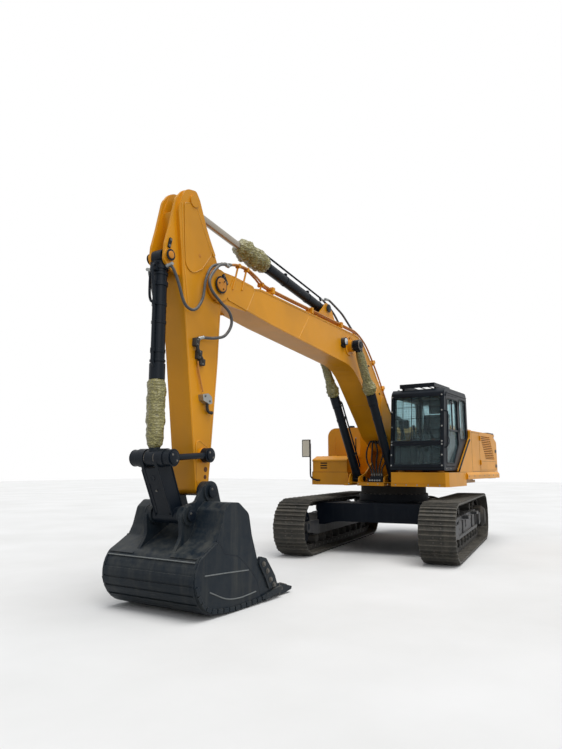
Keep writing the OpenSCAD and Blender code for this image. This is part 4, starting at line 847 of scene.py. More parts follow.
# Along the stick from the boom's tip pin, across, and forward of it
TO_STICK = ((-0.3, 0.25, -0.13), (-0.29, 0.27, -0.04), (-0.2, 0.3, 0.13), (0.02, 0.32, 0.3),
            (0.16, 0.33, 0.28), (0.27, 0.34, 0.1), (0.36, 0.34, -0.1), (0.5, 0.33, -0.16), (0.66, 0.3, -0.08),
            (0.73, 0.26, 0.08), (0.76, 0.22, 0.24), (0.79, 0.2, 0.31))
TO_BUCKET_CYLINDER = ((-0.33, 0.21, -0.11), (-0.29, 0.225, 0.0), (-0.17, 0.245, 0.2), (0.04, 0.25, 0.3),
                      (0.28, 0.25, 0.33), (0.44, 0.245, 0.42), (0.48, 0.235, 0.52), (0.42, 0.225, 0.63),
                      (0.2, 0.21, 0.74), (0.06, 0.19, 0.82), (0.03, 0.15, 0.85), (0.034, 0.12, 0.852))


def arm_hoses():
    """Hoses from the boom's pipes to the stick's block and to the bucket cylinder, left and right."""
    for side, tag in ((1, "left"), (-1, "right")):
        for name, rows, radius, last in (("hose_boom_to_stick_", TO_STICK, 0.019, -1),
                                         ("hose_boom_to_bucket_cylinder_", TO_BUCKET_CYLINDER, 0.018, 6)):
            piece = Piece(name + tag, None, RUBBER, ZINC)
            points = [on_stick(a, side * y, p) for a, y, p in rows]
            hose(piece, points, radius)
            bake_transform(piece.done(40))


arm_hoses()

# Along the pins' line, square to it, and corner radius: the boom's upper and lower edges
UPPER = [(-0.06, 0.215, 0), (0.35 * BOOM_LEN, 1.375, 0.62), (BOOM_LEN - 0.845, 0.47, 0.5),
         (BOOM_LEN - 0.345, 0.19, 0)]
LOWER = [(BOOM_LEN - 0.345, -0.06, 0), (BOOM_LEN - 1.245, 0.11, 0.9), (0.374 * BOOM_LEN, 0.69, 0.9),
         (0.76, -0.09, 0.3), (0.2, -0.19, 0)]
PIPE_ROUTE = [(0.62, 0.6), (0.82, 0.73), (1.25, 1.005), (1.6, 1.19), (1.86, 1.3), (2.1, 1.345), (2.35, 1.345),
              (2.62, 1.275), (3.2, 1.11), (3.9, 0.91), (4.6, 0.708), (5.05, 0.585), (5.25, 0.55),
              (5.45, 0.53), (5.7, 0.49), (5.88, 0.43), (5.97, 0.385), (6.04, 0.335)]


def boom_piping():
    """Painted pipes along the boom's back, on clamps and on raised stands at its tip."""
    piece = Piece("boom_piping", "boom", PIPE, STEEL, YELLOW, RUBBER)
    for side in (-1, 1):
        # The pipes spread towards the tip, clear of the stick's plates, and end in fittings
        for y, spread in ((0.135, 0.075), (0.185, 0.06)):
            path = [on_boom(u, side * (y + spread * max(0, min(1, (u - 5.25) / 0.4))), v + 0.045)
                    for u, v in PIPE_ROUTE]
            piece.tube(curve(path, 8), 0.0155, 12)
            piece.lathe(path[-1], path[-1] - path[-2],
                        [(0, 0.02), (0.03, 0.02), (0.031, 0.026), (0.06, 0.026)], 6, 1)
        for u, v in ((0.95, 0.845), (1.5, 1.145), (2.9, 1.195), (3.9, 0.907), (5.0, 0.6)):
            low, high = (UPPER[0], UPPER[1]) if u < UPPER[1][0] else (UPPER[1], UPPER[2])
            tilt = math.degrees(math.atan2(high[1] - low[1], high[0] - low[0]))

            def place(a, b, h):
                p = turned((a, b), tilt)
                return on_boom(u + p.x, side * (0.1 + h), v + p.y)

            piece.prism(box(-0.03, -0.02, 0.03, 0.075), place, 0.0, 0.12, 2)
            piece.bolt(place(0, 0.075, 0.06), place(0, 0.2, 0.06) - place(0, 0.1, 0.06), 0.011, 1)
        for u, low, high, y, inner in ((5.25, 0.48, 0.59, 0.16, -0.055), (5.7, 0.2, 0.53, 0.222, -0.03),
                                       (5.88, 0.1, 0.475, 0.222, -0.03)):
            piece.pipe(on_boom, [(u, side * y, low), (u, side * y, high)], 0.013, 10, 2)
            piece.prism(box(u - 0.018, high - 0.03, u + 0.018, high + 0.02),
                        lambda a, b, h: on_boom(a, side * (y + h), b), inner, 0.04, 2)
    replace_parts(piece.done(30), "boom_pipes")


boom_piping()


# Arm: welds, covers, fittings


def pin_cover(piece, at, axis, r, slot, dark):
    """A cover disc in a recessed ring, with three bolts."""
    piece.lathe(at, axis, [(0, r * 1.26), (0.003, r * 1.26), (0.004, r * 1.2)], 36, dark)
    piece.lathe(at, axis, [(0, r), (0.014, r), (0.018, r * 0.93), (0.019, r * 0.4), (0.016, r * 0.35)],
                32, slot)
    side = axis.orthogonal().normalized()
    for c, s in circle(3, r * 0.66, first=0.3):
        piece.bolt(at + axis * 0.017 + c * side + s * axis.cross(side), axis, r * 0.12, dark, washer=False)


def lock_plate(piece, place, at, size, angle):
    """A flat plate with two bolts that keeps a pin from turning; place maps (a, b, height)."""
    length, width = size

    def on_plate(a, b, h):
        p = turned((a, b), angle)
        return place(at[0] + p.x, at[1] + p.y, h)

    piece.prism(box(-length / 2, -width / 2, length / 2, width / 2, 0.01), on_plate, 0.0, 0.014, 1)
    for a in (-length * 0.3, length * 0.3):
        piece.bolt(on_plate(a, 0, 0.014), on_plate(a, 0, 1) - on_plate(a, 0, 0), 0.013, 2)


def boom_side(piece, side):
    """Welds, lips, bosses, second plates and brackets on one side of the boom."""
    def place(u, v, h):
        return on_boom(u, side * (BOOM_HALF + h), v)

    out = ACROSS * side
    for rows, inset in ((UPPER, -0.022), (LOWER, 0.022)):
        edge = rounded(rows, closed=False)
        piece.bead([(p.x, p.y + inset) for p in edge], place, 0.001, 0.0065, 3, closed=False)
        for a, b in zip(edge, edge[1:]):
            lip = [a, b, b + Vector((0, inset * 0.7)), a + Vector((0, inset * 0.7))]
            piece.add([place(*p, h) for h in (0, 0.007) for p in lip],
                      [[4, 5, 6, 7], [0, 1, 5, 4], [3, 2, 6, 7], [0, 4, 7, 3], [1, 5, 6, 2]])
    # Boss of the boom cylinder's pin, then the tip's and the foot's
    ring = circle(40, 0.17, CYL_BOSS)
    piece.prism(ring, place, 0, 0.012)
    piece.bead(ring, place, 0.012, 0.006, 3)
    pin_cover(piece, on_boom(CYL_BOSS.x, side * (CYL_Y + 0.0655), CYL_BOSS.y), out, 0.062, 1, 2)
    piece.bead(circle(40, 0.207, (BOOM_LEN, 0)), place, 0.002, 0.007, 3)
    pin_cover(piece, on_boom(BOOM_LEN, side * 0.2555, 0), out, 0.09, 5, 1)
    lock_plate(piece, lambda a, b, h: on_boom(a, side * (0.2355 + h), b), (BOOM_LEN - 0.06, 0.12),
               (0.15, 0.05), 35)
    piece.bead(circle(36, 0.152), place, 0.002, 0.007, 3)
    pin_cover(piece, on_boom(0, side * 0.3255, 0), out, 0.05, 1, 2)
    # Second plates at the tip's cheek and at the foot
    piece.welded_plate([(5.42, 0.4, 0.05), (5.9, 0.27, 0.05), (5.93, 0.1, 0.03), (5.93, -0.08, 0.03),
                        (5.5, 0.0, 0.05)], place, 3)
    piece.welded_plate([(0.3, 0.36, 0.08), (0.95, 0.76, 0.1), (1.02, 0.5, 0.15), (0.75, 0.1, 0.1),
                        (0.3, -0.08, 0.1)], place, 3)
    # Small brackets for the lamp's cable, and joint welds across the side
    (u0, v0, _), (u1, v1, _) = UPPER[:2]
    for u in (1.1, 1.7, 2.3, 2.6):
        v = 1.11 if u > 2.0 else v0 + (v1 - v0) * (u - u0) / (u1 - u0) - 0.14
        piece.prism(box(u - 0.02, v - 0.012, u + 0.02, v + 0.012), place, 0, 0.012, 1)
    for u, low, high in ((1.35, 0.27, 0.95), (4.15, 0.3, 0.78)):
        piece.tube([place(u - 0.03 * k, low + (high - low) * k / 6, 0.0) for k in range(7)], 0.005, 6, 3)


def boom_details():
    """Both sides of the boom, its lamp, the stick cylinder's clevis and the welds across its belly."""
    piece = Piece("boom_details", "boom", YELLOW, BLACK, STEEL, WELD, LENS, COVER)
    for side in (-1, 1):
        boom_side(piece, side)
    lamp = on_boom(2.8, BOOM_HALF + 0.07, 0.945)
    piece.lathe(lamp, ACROSS, [(0, 0.071), (0.004, 0.071), (0.006, 0.062), (0.002, 0.06)], 40, 1)
    piece.lathe(lamp, ACROSS, [(0.0, 0.06), (0.005, 0.056), (0.009, 0.04), (0.011, 0.0)], 40, 4)
    piece.prism(box(2.755, 0.84, 2.845, 0.88), lambda a, b, h: on_boom(a, BOOM_HALF + h, b), 0, 0.055, 1)
    for side in (-1, 1):
        piece.lathe(on_line("stick", 0, side * 0.1355), ACROSS * side,
                    [(0, 0.07), (0.008, 0.07), (0.01, 0.05), (0.014, 0.03)], 28, 1)
        foot = [(2.86, 1.175), (3.1, 1.106), (3.35, 1.034), (3.62, 0.957)]
        piece.pipe(on_boom, [(u, side * 0.116, v) for u, v in foot], 0.008, 6, 3)
    for u, v in ((1.5, 0.28), (3.0, 0.6), (4.4, 0.26)):
        piece.pipe(on_boom, [(u, y, v) for y in (-BOOM_HALF + 0.01, 0, BOOM_HALF - 0.01)], 0.004, 6, 3)
    piece.done()


boom_details()

# Down the stick, forward of its pins' line, and corner radius
STICK_BACK = [(-0.24, 0.69, 0.15), (0.15, 0.62, 0.2), (STICK_LEN - 1.044, 0.335, 0),
              (STICK_LEN - 0.125, 0.15, 0)]
STICK_REAR = [(STICK_LEN - 0.14, -0.1, 0), (1.0, -0.13, 0), (0.3, -0.12, 0.2), (0.22, -0.14, 0)]


def stick_side(piece, side):
    """Welds, plates, plugs and pin covers on one side of the stick."""
    def place(a, p, h):
        return on_stick(a, side * (STICK_HALF + h), p)

    out = ACROSS * side
    for rows, inset in ((STICK_BACK, -0.02), (STICK_REAR, 0.02)):
        piece.bead([(p.x, p.y + inset) for p in rounded(rows, closed=False)], place, 0.001, 0.006, 3,
                   closed=False)
    # Ridge from the rod's boss along the ears' foot, raised band along the rear edge, second plate
    ridge = [(-0.821, 0.74), (-0.46, 0.683), (-0.07, 0.622), (0.399, 0.498)]
    piece.bead(ridge, place, 0.002, 0.008, 3, closed=False)
    band = rounded([(-0.696, 0.354, 0.02), (-0.575, 0.266, 0.05), (-0.428, 0.159, 0.05), (-0.35, 0.089, 0.02),
                    (-0.39, 0.06, 0.02), (-0.47, 0.12, 0.05), (-0.72, 0.3, 0.02)])
    piece.prism(band, place, 0, 0.01)
    piece.welded_plate([(-0.845, 0.7, 0.04), (-0.921, 0.492, 0.06), (-0.789, 0.42, 0.06),
                        (-0.558, 0.259, 0.1), (-0.38, 0.13, 0.06), (-0.12, 0.3, 0.12), (0.02, 0.5, 0.12),
                        (-0.1, 0.6, 0.06), (-0.46, 0.655, 0.1)], place, 3)
    # Plate near the bucket pin with its brown plugs, and the bore of a passage
    piece.welded_plate([(STICK_LEN - 0.62, 0.19, 0.05), (STICK_LEN - 0.12, 0.12, 0.05),
                        (STICK_LEN + 0.02, 0.05, 0.05), (STICK_LEN + 0.02, -0.07, 0.05),
                        (STICK_LEN - 0.5, -0.1, 0.05)], place, 3)
    for a, r in ((2.339, 0.032), (2.429, 0.026)):
        piece.lathe(place(a, -0.02, 0.008), out, [(0, r), (0.0015, r), (0.003, r * 0.8)], 20, 5)
    piece.lathe(place(-0.276, 0.359, 0), out, [(0, 0.024), (0.0095, 0.024), (0.0105, 0.017)], 24, 4)
    # Cover of the bucket cylinder's pin with its lock plate
    at = on_stick(-0.104, side * 0.1615, 0.845)
    piece.lathe(at, out, [(0, 0.07), (0.004, 0.07), (0.005, 0.066)], 36, 1)
    piece.lathe(at, out, [(0, 0.045), (0.012, 0.045), (0.015, 0.04), (0.016, 0.02)], 32, 4)
    lock_plate(piece, lambda a, p, h: on_stick(a, side * (0.1265 + h), p), (-0.26, 0.85), (0.13, 0.045), 10)


def stick_details():
    """Both sides of the stick and the welds across its front."""
    piece = Piece("stick_details", "stick", YELLOW, BLACK, STEEL, WELD, COVER, RUST)
    for side in (-1, 1):
        stick_side(piece, side)
    for a, p in ((0.45, 0.555), (1.1, 0.42)):
        piece.pipe(on_stick, [(a, y, p) for y in (-STICK_HALF + 0.01, 0, STICK_HALF - 0.01)], 0.004, 6, 3)
    piece.done()


def stick_fittings():
    """Valve block, elbows and pipe on the stick's side, under the hoses."""
    piece = Piece("stick_fittings", "stick", CAST, STEEL, ZINC, PIPE)

    def place(a, p, h):
        return on_stick(a, STICK_HALF + h, p)

    thick = [(0.79, 0.31, 0.04), (0.86, 0.33, 0.045), (0.95, 0.3, 0.045), (1.03, 0.22, 0.04),
             (1.08, 0.2, 0.03)]
    thin = [(1.06, 0.28, 0.03), (1.18, 0.25, 0.028), (1.3, 0.2, 0.028), (1.42, 0.155, 0.035)]
    piece.pipe(place, thick, 0.022, steps=8)
    piece.pipe(place, thin, 0.01, 10, 3, 8)
    for a, p, length, width, height in ((0.84, 0.34, 0.1, 0.07, 0.06), (0.98, 0.27, 0.11, 0.08, 0.05),
                                        (1.06, 0.21, 0.08, 0.09, 0.05)):
        piece.prism(box(a - length / 2, p - width / 2, a + length / 2, p + width / 2, 0.008), place,
                    0, height)
        for s in (-1, 1):
            piece.bolt(place(a + s * length * 0.3, p, height), ACROSS, 0.009, 1)
    block = rounded([(1.43, 0.1, 0.01), (1.46, 0.2, 0.01), (1.53, 0.18, 0.01), (1.56, 0.06, 0.01),
                     (1.54, 0.01, 0.01), (1.46, 0.03, 0.01)])
    piece.prism(block, place, 0, 0.075, 2)
    for a, p in ((1.47, 0.15), (1.52, 0.06)):
        piece.bolt(place(a, p, 0.075), ACROSS, 0.011, 1)
    elbow = [place(a, p, 0.04) for a, p in ((1.53, 0.07), (1.58, 0.065), (1.63, 0.05), (1.65, 0.02),
                                            (1.65, -0.01))]
    piece.tube(curve(elbow, 5), 0.018, 12)
    piece.lathe(elbow[-1], elbow[-1] - elbow[-2],
                [(0, 0.024), (0.022, 0.024), (0.024, 0.014), (0.03, 0.014)], 6)
    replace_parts(piece.done(30), "stick_pipes")


stick_details()
stick_fittings()


def rod_ends():
    """Painted eyes at the rods' ends, with a neck where each eye is welded on."""
    for line, body, places, half in (("boom", "boom_rods", (-CYL_Y, CYL_Y), 0.065),
                                     ("stick", "stick_rod", (0,), 0.073),
                                     ("bucket", "bucket_rod", (0,), 0.075)):
        piece = Piece("rod_eyes_of_" + body, body, BLACK, STEEL)
        length, axis = line_length(line), line_axis(line)
        for y in places:
            piece.lathe(on_line(line, length, y - half - 0.0008), ACROSS,
                        [(0, 0.088), (0.006, 0.0962), (2 * half - 0.0044, 0.0962),
                         (2 * half + 0.0016, 0.088)], 48)
            piece.lathe(on_line(line, length - 0.13, y), axis,
                        [(0, 0.0535), (0.004, 0.062), (0.03, 0.066), (0.06, 0.07)], 36)
            piece.bolt(on_line(line, length + 0.094, y), axis, 0.009, 1)
        piece.done()


rod_ends()


def side_link_details():
    """Hub rings and bolted covers of the two side links."""
    piece = Piece("side_link_details", "side_links", BLACK, STEEL)
    stick_pin = BOOM_TIP + turned((STICK_LEN - 0.425, 0.05), STICK_DIR)
    for side in (-1, 1):
        out = ACROSS * side
        for p, r in ((LINE["bucket"][1], 0.095), (stick_pin, 0.085)):
            at = house(p.x, side * (STICK_HALF + 0.1302), p.y)
            piece.lathe(at, out, [(0, r * 0.78), (0.012, r * 0.78), (0.016, r * 0.7), (0.017, r * 0.3)], 32)
            for c, s in circle(2, r * 0.5, first=0.25):
                piece.bolt(at + Vector((c, 0, s)) + out * 0.015, out, 0.01, 1)
            for y in (0.042, 0.128):
                piece.lathe(house(p.x, side * (STICK_HALF + y), p.y), out,
                            [(-0.004, r + 0.003), (0.0015, r + 0.003)], 36)
    piece.done()


def h_link_details():
    """Rims, cover plate, grease nipple and weld beads of the H-shaped link."""
    piece = Piece("h_link_details", "h_link", BLACK, STEEL)
    high, low = LINE["bucket"][1], BUCKET_PIN + LINK_PIN
    way = (low - high).normalized()
    square = Vector((-way.y, way.x))
    up = Vector((square.x, 0, square.y))

    def place(a, b, h):
        p = high + way * a + square * b
        return house(p.x, h, p.y)

    for side in (-1, 1):
        out = ACROSS * side
        piece.lathe(place(0, 0, side * 0.2045), out, [(0, 0.07), (0.005, 0.07)], 28)
        for s in (-1, 1):
            piece.pipe(place, [(0.1, s * 0.104, side * 0.13), (0.5, s * 0.096, side * 0.13),
                               (0.68, s * 0.09, side * 0.13)], 0.008, 8)
        piece.lathe(place((low - high).length, 0, side * 0.1855), out, [(0, 0.088), (0.006, 0.084)], 32)
    piece.prism(box(0.085, 0.088, 0.27, 0.1), place, -0.088, 0.088)
    piece.lathe(place(0.2, 0.1, 0), up, [(0, 0.035), (0.006, 0.03), (0.004, 0.02)])
    piece.bolt(place(0.36, 0.0955, 0), up, 0.01, 1)
    piece.bead(circle(24, 0.04, (0.505, -0.14)), place, 0.0252, 0.004)
    piece.done()


side_link_details()
h_link_details()


# Bucket


def shroud(piece, place):
    """Segments of the shroud along the bucket's lower edge."""
    low = rounded([(-0.6, GROUND + 0.045, 0), (-0.42, GROUND + 0.026, 0), (0.06, GROUND + 0.01, 0.5),
                   (0.64, GROUND + 0.07, 0.38), (0.74, -0.86, 0)], closed=False)
    lengths = [0.0]
    for a, b in zip(low, low[1:]):
        lengths.append(lengths[-1] + (b - a).length)

    def along(s):
        k = min(sum(1 for d in lengths if d <= s) - 1, len(low) - 2)
        way = (low[k + 1] - low[k]).normalized()
        return low[k] + way * (s - lengths[k]), Vector((-way.y, way.x))

    pitch, segment = 0.105, 0.085
    for k in range(int((lengths[-1] - 0.02 - segment) / pitch) + 1):
        s = 0.02 + k * pitch
        (a, a_in), (b, b_in) = along(s), along(s + segment)
        piece.prism([a + a_in * 0.004, b + b_in * 0.004, b + b_in * 0.05, a + a_in * 0.05], place,
                    0.009, 0.027)


def bucket_side(piece, side, weld):
    """Seams, bolts, keepers and shroud on one side of the bucket."""
    def place(x, z, h):
        return on_bucket(x, side * (BUCKET_HALF + h), z)

    out = ACROSS * side
    # Seams along the second plate's edge, across the side, and round the shell
    seam = rounded([(0.363, -0.51, 0.0), (0.297, -0.556, 0.04), (0.229, -0.657, 0.06), (-0.024, -0.713, 0.12),
                    (-0.269, -0.897, 0.2), (-0.396, -1.028, 0.1), (-0.475, -1.23, 0.0)], closed=False)
    piece.bead(seam, place, 0.001, weld * 1.4, 2, 8, closed=False)
    for rows in (((0.562, -0.847), (0.202, -0.865), (-0.219, -0.89)),
                 ((0.475, -1.025), (0.195, -1.137), (-0.032, -1.168), (-0.199, -1.164), (-0.372, -1.151))):
        piece.pipe(place, [(x, z, 0.011) for x, z in rows], weld, 8, 3, 8)
    edge = rounded([(-0.38, GROUND + 0.03, 0), (0.06, GROUND + 0.012, 0.5), (0.63, GROUND + 0.075, 0.38),
                    (0.748, -0.83, 0.33), (0.63, -0.675, 0.1), (0.36, -0.525, 0)], closed=False)
    piece.bead(edge, place, 0.009, weld, sides=8, closed=False)
    for x, z in ((-0.52, -0.86), (-0.6, -0.95), (-0.67, -1.06), (-0.74, -1.13)):
        piece.bolt(place(x, z, 0.02), out, 0.024, 1)
    # Pin keepers outside the ears, welds at the ears' feet and round their bosses
    for x, z, r in ((0, 0, 0.075), (*LINK_PIN, 0.065)):
        at = on_bucket(x, side * 0.3302, z)
        piece.lathe(at, out, [(0, r), (0.012, r), (0.015, r * 0.9), (0.016, r * 0.4)], 32, 2)
        piece.bolt(at + Vector((0.4 * r, 0, 0.4 * r)) + out * 0.014, out, 0.011, 1)
    for y in (0.243, 0.292):
        foot = ((-0.17, -0.262), (0.05, -0.37), (0.32, -0.52), (0.55, -0.632))
        piece.pipe(on_bucket, [(x, side * y, z + 0.008) for x, z in foot], 0.009, 8)
    for x, z, r in ((0, 0, 0.121), (*LINK_PIN, 0.111)):
        piece.pipe(on_bucket, [(a, side * 0.2912, b) for a, b in circle(32, r, (x, z), closed=True)],
                   0.005, 6)
    shroud(piece, place)


def bucket_details():
    """Weld seams, bolts, and tooth pins and caps."""
    piece = Piece("bucket_details", "bucket", CHARCOAL, WORN, BLACK, BEAD)
    weld = 0.0075
    for side in (-1, 1):
        bucket_side(piece, side, weld)
    # Front seam across the back of the shell
    piece.pipe(on_bucket, [(0.672, -0.66, GROUND + 0.603), (0.672, 0.66, GROUND + 0.603)], weld, 8, 3)
    # Tooth caps: a pin on each side, a rib on top and a step
    for i in range(5):
        y = -BUCKET_HALF + 0.08 + i * (2 * BUCKET_HALF - 0.16) / 4
        for s in (-1, 1):
            piece.lathe(on_bucket(-0.985, y + s * 0.0505, GROUND + 0.088), ACROSS * s,
                        [(0, 0.024), (0.006, 0.024), (0.008, 0.016), (0.004, 0.014)], 20, 1)
        rib = ((-1.03, 0.137), (-1.1, 0.117), (-1.18, 0.094))
        piece.pipe(on_bucket, [(x, y, GROUND + z) for x, z in rib], 0.012, 8, 1)
        piece.prism([(-0.945, 0.02), (-0.93, 0.02), (-0.93, 0.16), (-0.945, 0.157)],
                    lambda a, b, h: on_bucket(a, y + h, GROUND + b), -0.054, 0.054, 1)
    piece.done()


bucket_details()


def cylinder_base_hoses():
    """Hoses from the stick cylinder's base over the boom's back to its pipes."""
    piece = Piece("hoses_to_stick_cylinder", None, RUBBER, ZINC)
    rows = ((3.336, 1.523), (3.213, 1.568), (2.933, 1.571), (2.726, 1.557), (2.5, 1.5), (2.3, 1.445),
            (2.1, 1.42))
    for y, lift in ((0.05, 0.0), (-0.05, 0.02)):
        hose(piece, [on_boom(u, y * (1 + k * 0.22), v + lift) for k, (u, v) in enumerate(rows)], 0.019)
    ends = [on_boom(3.336, 0, 1.523), on_boom(2.1, 0, 1.42)]
    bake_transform(piece.done(40))


cylinder_base_hoses()


# Cab


def cab_front_details(piece):
    """Wire mesh, bolts and seals before the windscreens, the wiper and the rail on the left post."""
    for z0, z1, y0, y1 in ((2.06, 2.9, 0.53, 1.44), (1.63, 1.99, 0.52, 1.45)):
        rows, columns = int((z1 - z0) / 0.045), int((y1 - y0) / 0.05)
        for i in range(1, rows):
            z = z0 + i * (z1 - z0) / rows
            piece.pipe(cab_front, [(y0, z, 0.014), (y1, z, 0.014)], 0.0018, 4)
        for i in range(1, columns):
            y = y0 + i * (y1 - y0) / columns
            piece.pipe(cab_front, [(y, z0, 0.018), (y, z1, 0.018)], 0.0018, 4)
    out = cab_front(0, 2, 1) - cab_front(0, 2, 0)
    for y in (0.505, 1.465):
        for z in (1.62, 1.81, 2.0, 2.055, 2.33, 2.62, 2.905):
            piece.bolt(cab_front(y, z, 0.0305), out, 0.011, 1)
    for z0, z1 in ((2.055, 2.905), (1.635, 2.005)):
        piece.bead(box(0.545, z0, 1.43, z1), cab_front, -0.012, 0.009, 2, 8)
    piece.pipe(cab_front, [(1.3, 2.09, -0.012), (1.18, 2.35, -0.01), (1.12, 2.56, -0.01)], 0.006, 8)
    piece.pipe(cab_front, [(1.16, 2.2, -0.017), (1.08, 2.82, -0.017)], 0.005, 6, 2)
    piece.lathe(cab_front(1.3, 2.09, -0.02), out, [(0, 0.03), (0.02, 0.028), (0.024, 0.01)], 20, 3)
    piece.pipe(cab_front, [(1.5, 1.95, -0.03), (1.545, 1.97, -0.03), (1.555, 2.02, -0.03),
                           (1.555, 2.55, -0.03), (1.545, 2.6, -0.03), (1.5, 2.62, -0.03)], 0.013, 12, steps=5)


def cab_details():
    """Rails, gutter, seals, hatch guard, air inlet and bolts of the cab's shell."""
    piece = Piece("cab_details", "house", BLACK, ZINC, SEAL, PLASTIC)
    cab_front_details(piece)
    # Rail along the slanted side panel, gutter over the door, caps along the roof's edge
    piece.pipe(house, [(-0.2, 1.55, 2.1), (-0.12, 1.58, 2.12), (-0.02, 1.59, 2.08), (0.56, 1.59, 1.62),
                       (0.6, 1.58, 1.56), (0.54, 1.55, 1.52)], 0.014, 12, steps=5)
    piece.pipe(house, [(-0.24, 1.508, 2.965), (0.98, 1.508, 2.965), (1.05, 1.508, 2.9)], 0.012, 8)
    for x, y in ((0.0, 1.42), (0.5, 1.44), (0.95, 1.42), (0.95, 0.56), (0.0, 0.56)):
        piece.lathe(house(x, y, 3.05), UP, [(0, 0.022), (0.012, 0.022), (0.018, 0.012)], 16, 3)
    # Seals of the side, rear and roof windows
    piece.bead(box(-0.19, 2.13, 0.225, 2.9, 0.06), facing_y, 1.5005, 0.007, 2)
    right = rounded([(-0.18, 2.08, 0.06), (1.04, 2.08, 0.06), (0.99, 2.9, 0.06), (-0.18, 2.9, 0.06)])
    piece.bead(right, facing_y, 0.4745, 0.007, 2)
    piece.bead(box(0.585, 2.12, 1.39, 2.87), facing_x, -0.2905, 0.008, 2)
    for y in (0.76, 0.92, 1.08, 1.2):
        piece.pipe(house, [(0.15, y, 3.12), (1.03, y, 3.12)], 0.009, 8)
    piece.bead(box(0.2, 0.655, 0.8, 1.32), house, 3.052, 0.008, 2)
    # Air inlet behind the cab, bolts along its sill
    for i in range(6):
        piece.slab((-0.297, 0.7, 1.66 + 0.045 * i), (-0.29, 1.28, 1.685 + 0.045 * i), 3)
    for x in (-0.2, 0.15, 0.5, 0.9, 1.15):
        piece.bolt(house(x, 1.5, 1.565), ACROSS, 0.011, 1)
    piece.done()


def cab_door_details():
    """Seal, bars between the panes, slider, latch with its handle, and the inner pull."""
    piece = Piece("cab_door_details", "cab_door", BLACK, SEAL, PLASTIC, ZINC)
    pane = rounded([(0.68, 1.663, 0.03), (1.117, 1.663, 0.04), (0.967, 2.857, 0.06), (0.363, 2.857, 0.06),
                    (0.363, 2.01, 0.06)])
    piece.bead(pane, facing_y, 1.506, 0.007, 1)
    piece.slab((0.37, 1.478, 2.26), (1.04, 1.506, 2.29))
    piece.slab((0.66, 1.482, 2.29), (0.685, 1.504, 2.85))
    piece.slab((0.7, 1.5, 2.5), (0.72, 1.516, 2.58), 2)
    pan = rounded([(1.03, 1.98, 0.02), (1.1, 1.98, 0.02), (1.08, 2.16, 0.02), (1.02, 2.16, 0.02)])
    piece.prism(pan, facing_y, 1.5, 1.509, 2)
    piece.pipe(house, [(1.065, 1.505, 2.0), (1.062, 1.54, 2.02), (1.05, 1.54, 2.12), (1.048, 1.505, 2.14)],
               0.009, 10, steps=5)
    piece.lathe(house(1.07, 1.509, 1.96), ACROSS, [(0, 0.014), (0.006, 0.012)], 16, 3)
    piece.pipe(house, [(0.72, 1.43, 1.75), (0.72, 1.4, 1.77), (0.74, 1.4, 2.1), (0.74, 1.43, 2.12)], 0.011,
               10, 2, 5)
    piece.done()


def operator_controls(piece, side, middle):
    """Arm rest, lever, travel lever and pedal on one side of the seat."""
    y = middle + side * 0.33
    up, back = Vector((0.1, 0, 1)), Vector((-0.1, 0, 1))
    piece.prism(box(0.1, 2.17, 0.42, 2.22, 0.02), facing_y, y - 0.045, y + 0.045)
    piece.lathe(house(0.435, y, 2.155), up,
                [(0, 0.05), (0.02, 0.045), (0.03, 0.036), (0.045, 0.038), (0.06, 0.024)], 20, 4)
    piece.lathe(house(0.452, y, 2.32), up,
                [(0, 0.02), (0.02, 0.028), (0.06, 0.032), (0.09, 0.026), (0.1, 0.012)], 20)
    piece.lathe(house(0.8, middle + side * 0.09, 2.19), back,
                [(0, 0.018), (0.01, 0.022), (0.1, 0.022), (0.12, 0.012)], 16, 4)
    pedal = middle + side * 0.12
    piece.prism([(0.86, 1.62), (1.02, 1.67), (1.02, 1.685), (0.86, 1.635)], facing_y, pedal - 0.05,
                pedal + 0.05, 3)
    for k in range(4):
        piece.slab((0.14 + 0.07 * k, y - 0.02, 2.22), (0.17 + 0.07 * k, y + 0.02, 2.226), 2)


def cab_interior():
    """Seat's headrest and seams, controls, display, mat, rear shelf with its vents."""
    piece = Piece("cab_interior", "house", PLASTIC, SEAT, SCREEN, STEEL, SEAL)
    middle = 0.9875
    headrest = rounded([(-0.03, 2.66, 0.03), (0.07, 2.66, 0.03), (0.09, 2.84, 0.04), (-0.02, 2.84, 0.04)])
    piece.prism(headrest, facing_y, middle - 0.14, middle + 0.14, 1)
    for y in (middle - 0.2, middle + 0.2):
        piece.pipe(house, [(0.165, y, 2.12), (0.1, y, 2.4), (0.095, y, 2.62)], 0.018, 8, 1, 6)
        piece.pipe(house, [(0.17, y, 2.095), (0.4, y, 2.105), (0.54, y, 2.095)], 0.018, 8, 1, 6)
    for side in (-1, 1):
        operator_controls(piece, side, middle)
    piece.prism(box(0.56, 2.32, 0.76, 2.48, 0.02), lambda a, b, h: house(0.95 + h + 0.06 * (b - 2.4), a, b),
                0, 0.05)
    piece.slab((0.946, 0.58, 2.34), (0.952, 0.74, 2.46), 2)
    piece.pipe(house, [(0.98, 0.6, 2.1), (0.975, 0.62, 2.35)], 0.018, 10)
    piece.slab((0.15, 0.56, 1.592), (1.14, 1.42, 1.602), 4)
    for k in range(9):
        piece.slab((0.2 + 0.1 * k, 0.6, 1.602), (0.22 + 0.1 * k, 1.38, 1.607), 4)
    piece.slab((-0.2, 0.56, 1.6), (-0.04, 1.42, 2.06))
    for y in (0.7, 0.9, 1.1, 1.3):
        piece.lathe(house(-0.12, y, 2.06), UP, [(0, 0.035), (0.006, 0.03), (0.003, 0.02)], 20, 4)
    piece.done()


cab_details()
cab_door_details()
cab_interior()


# House: panels, tank, counterweight, doors


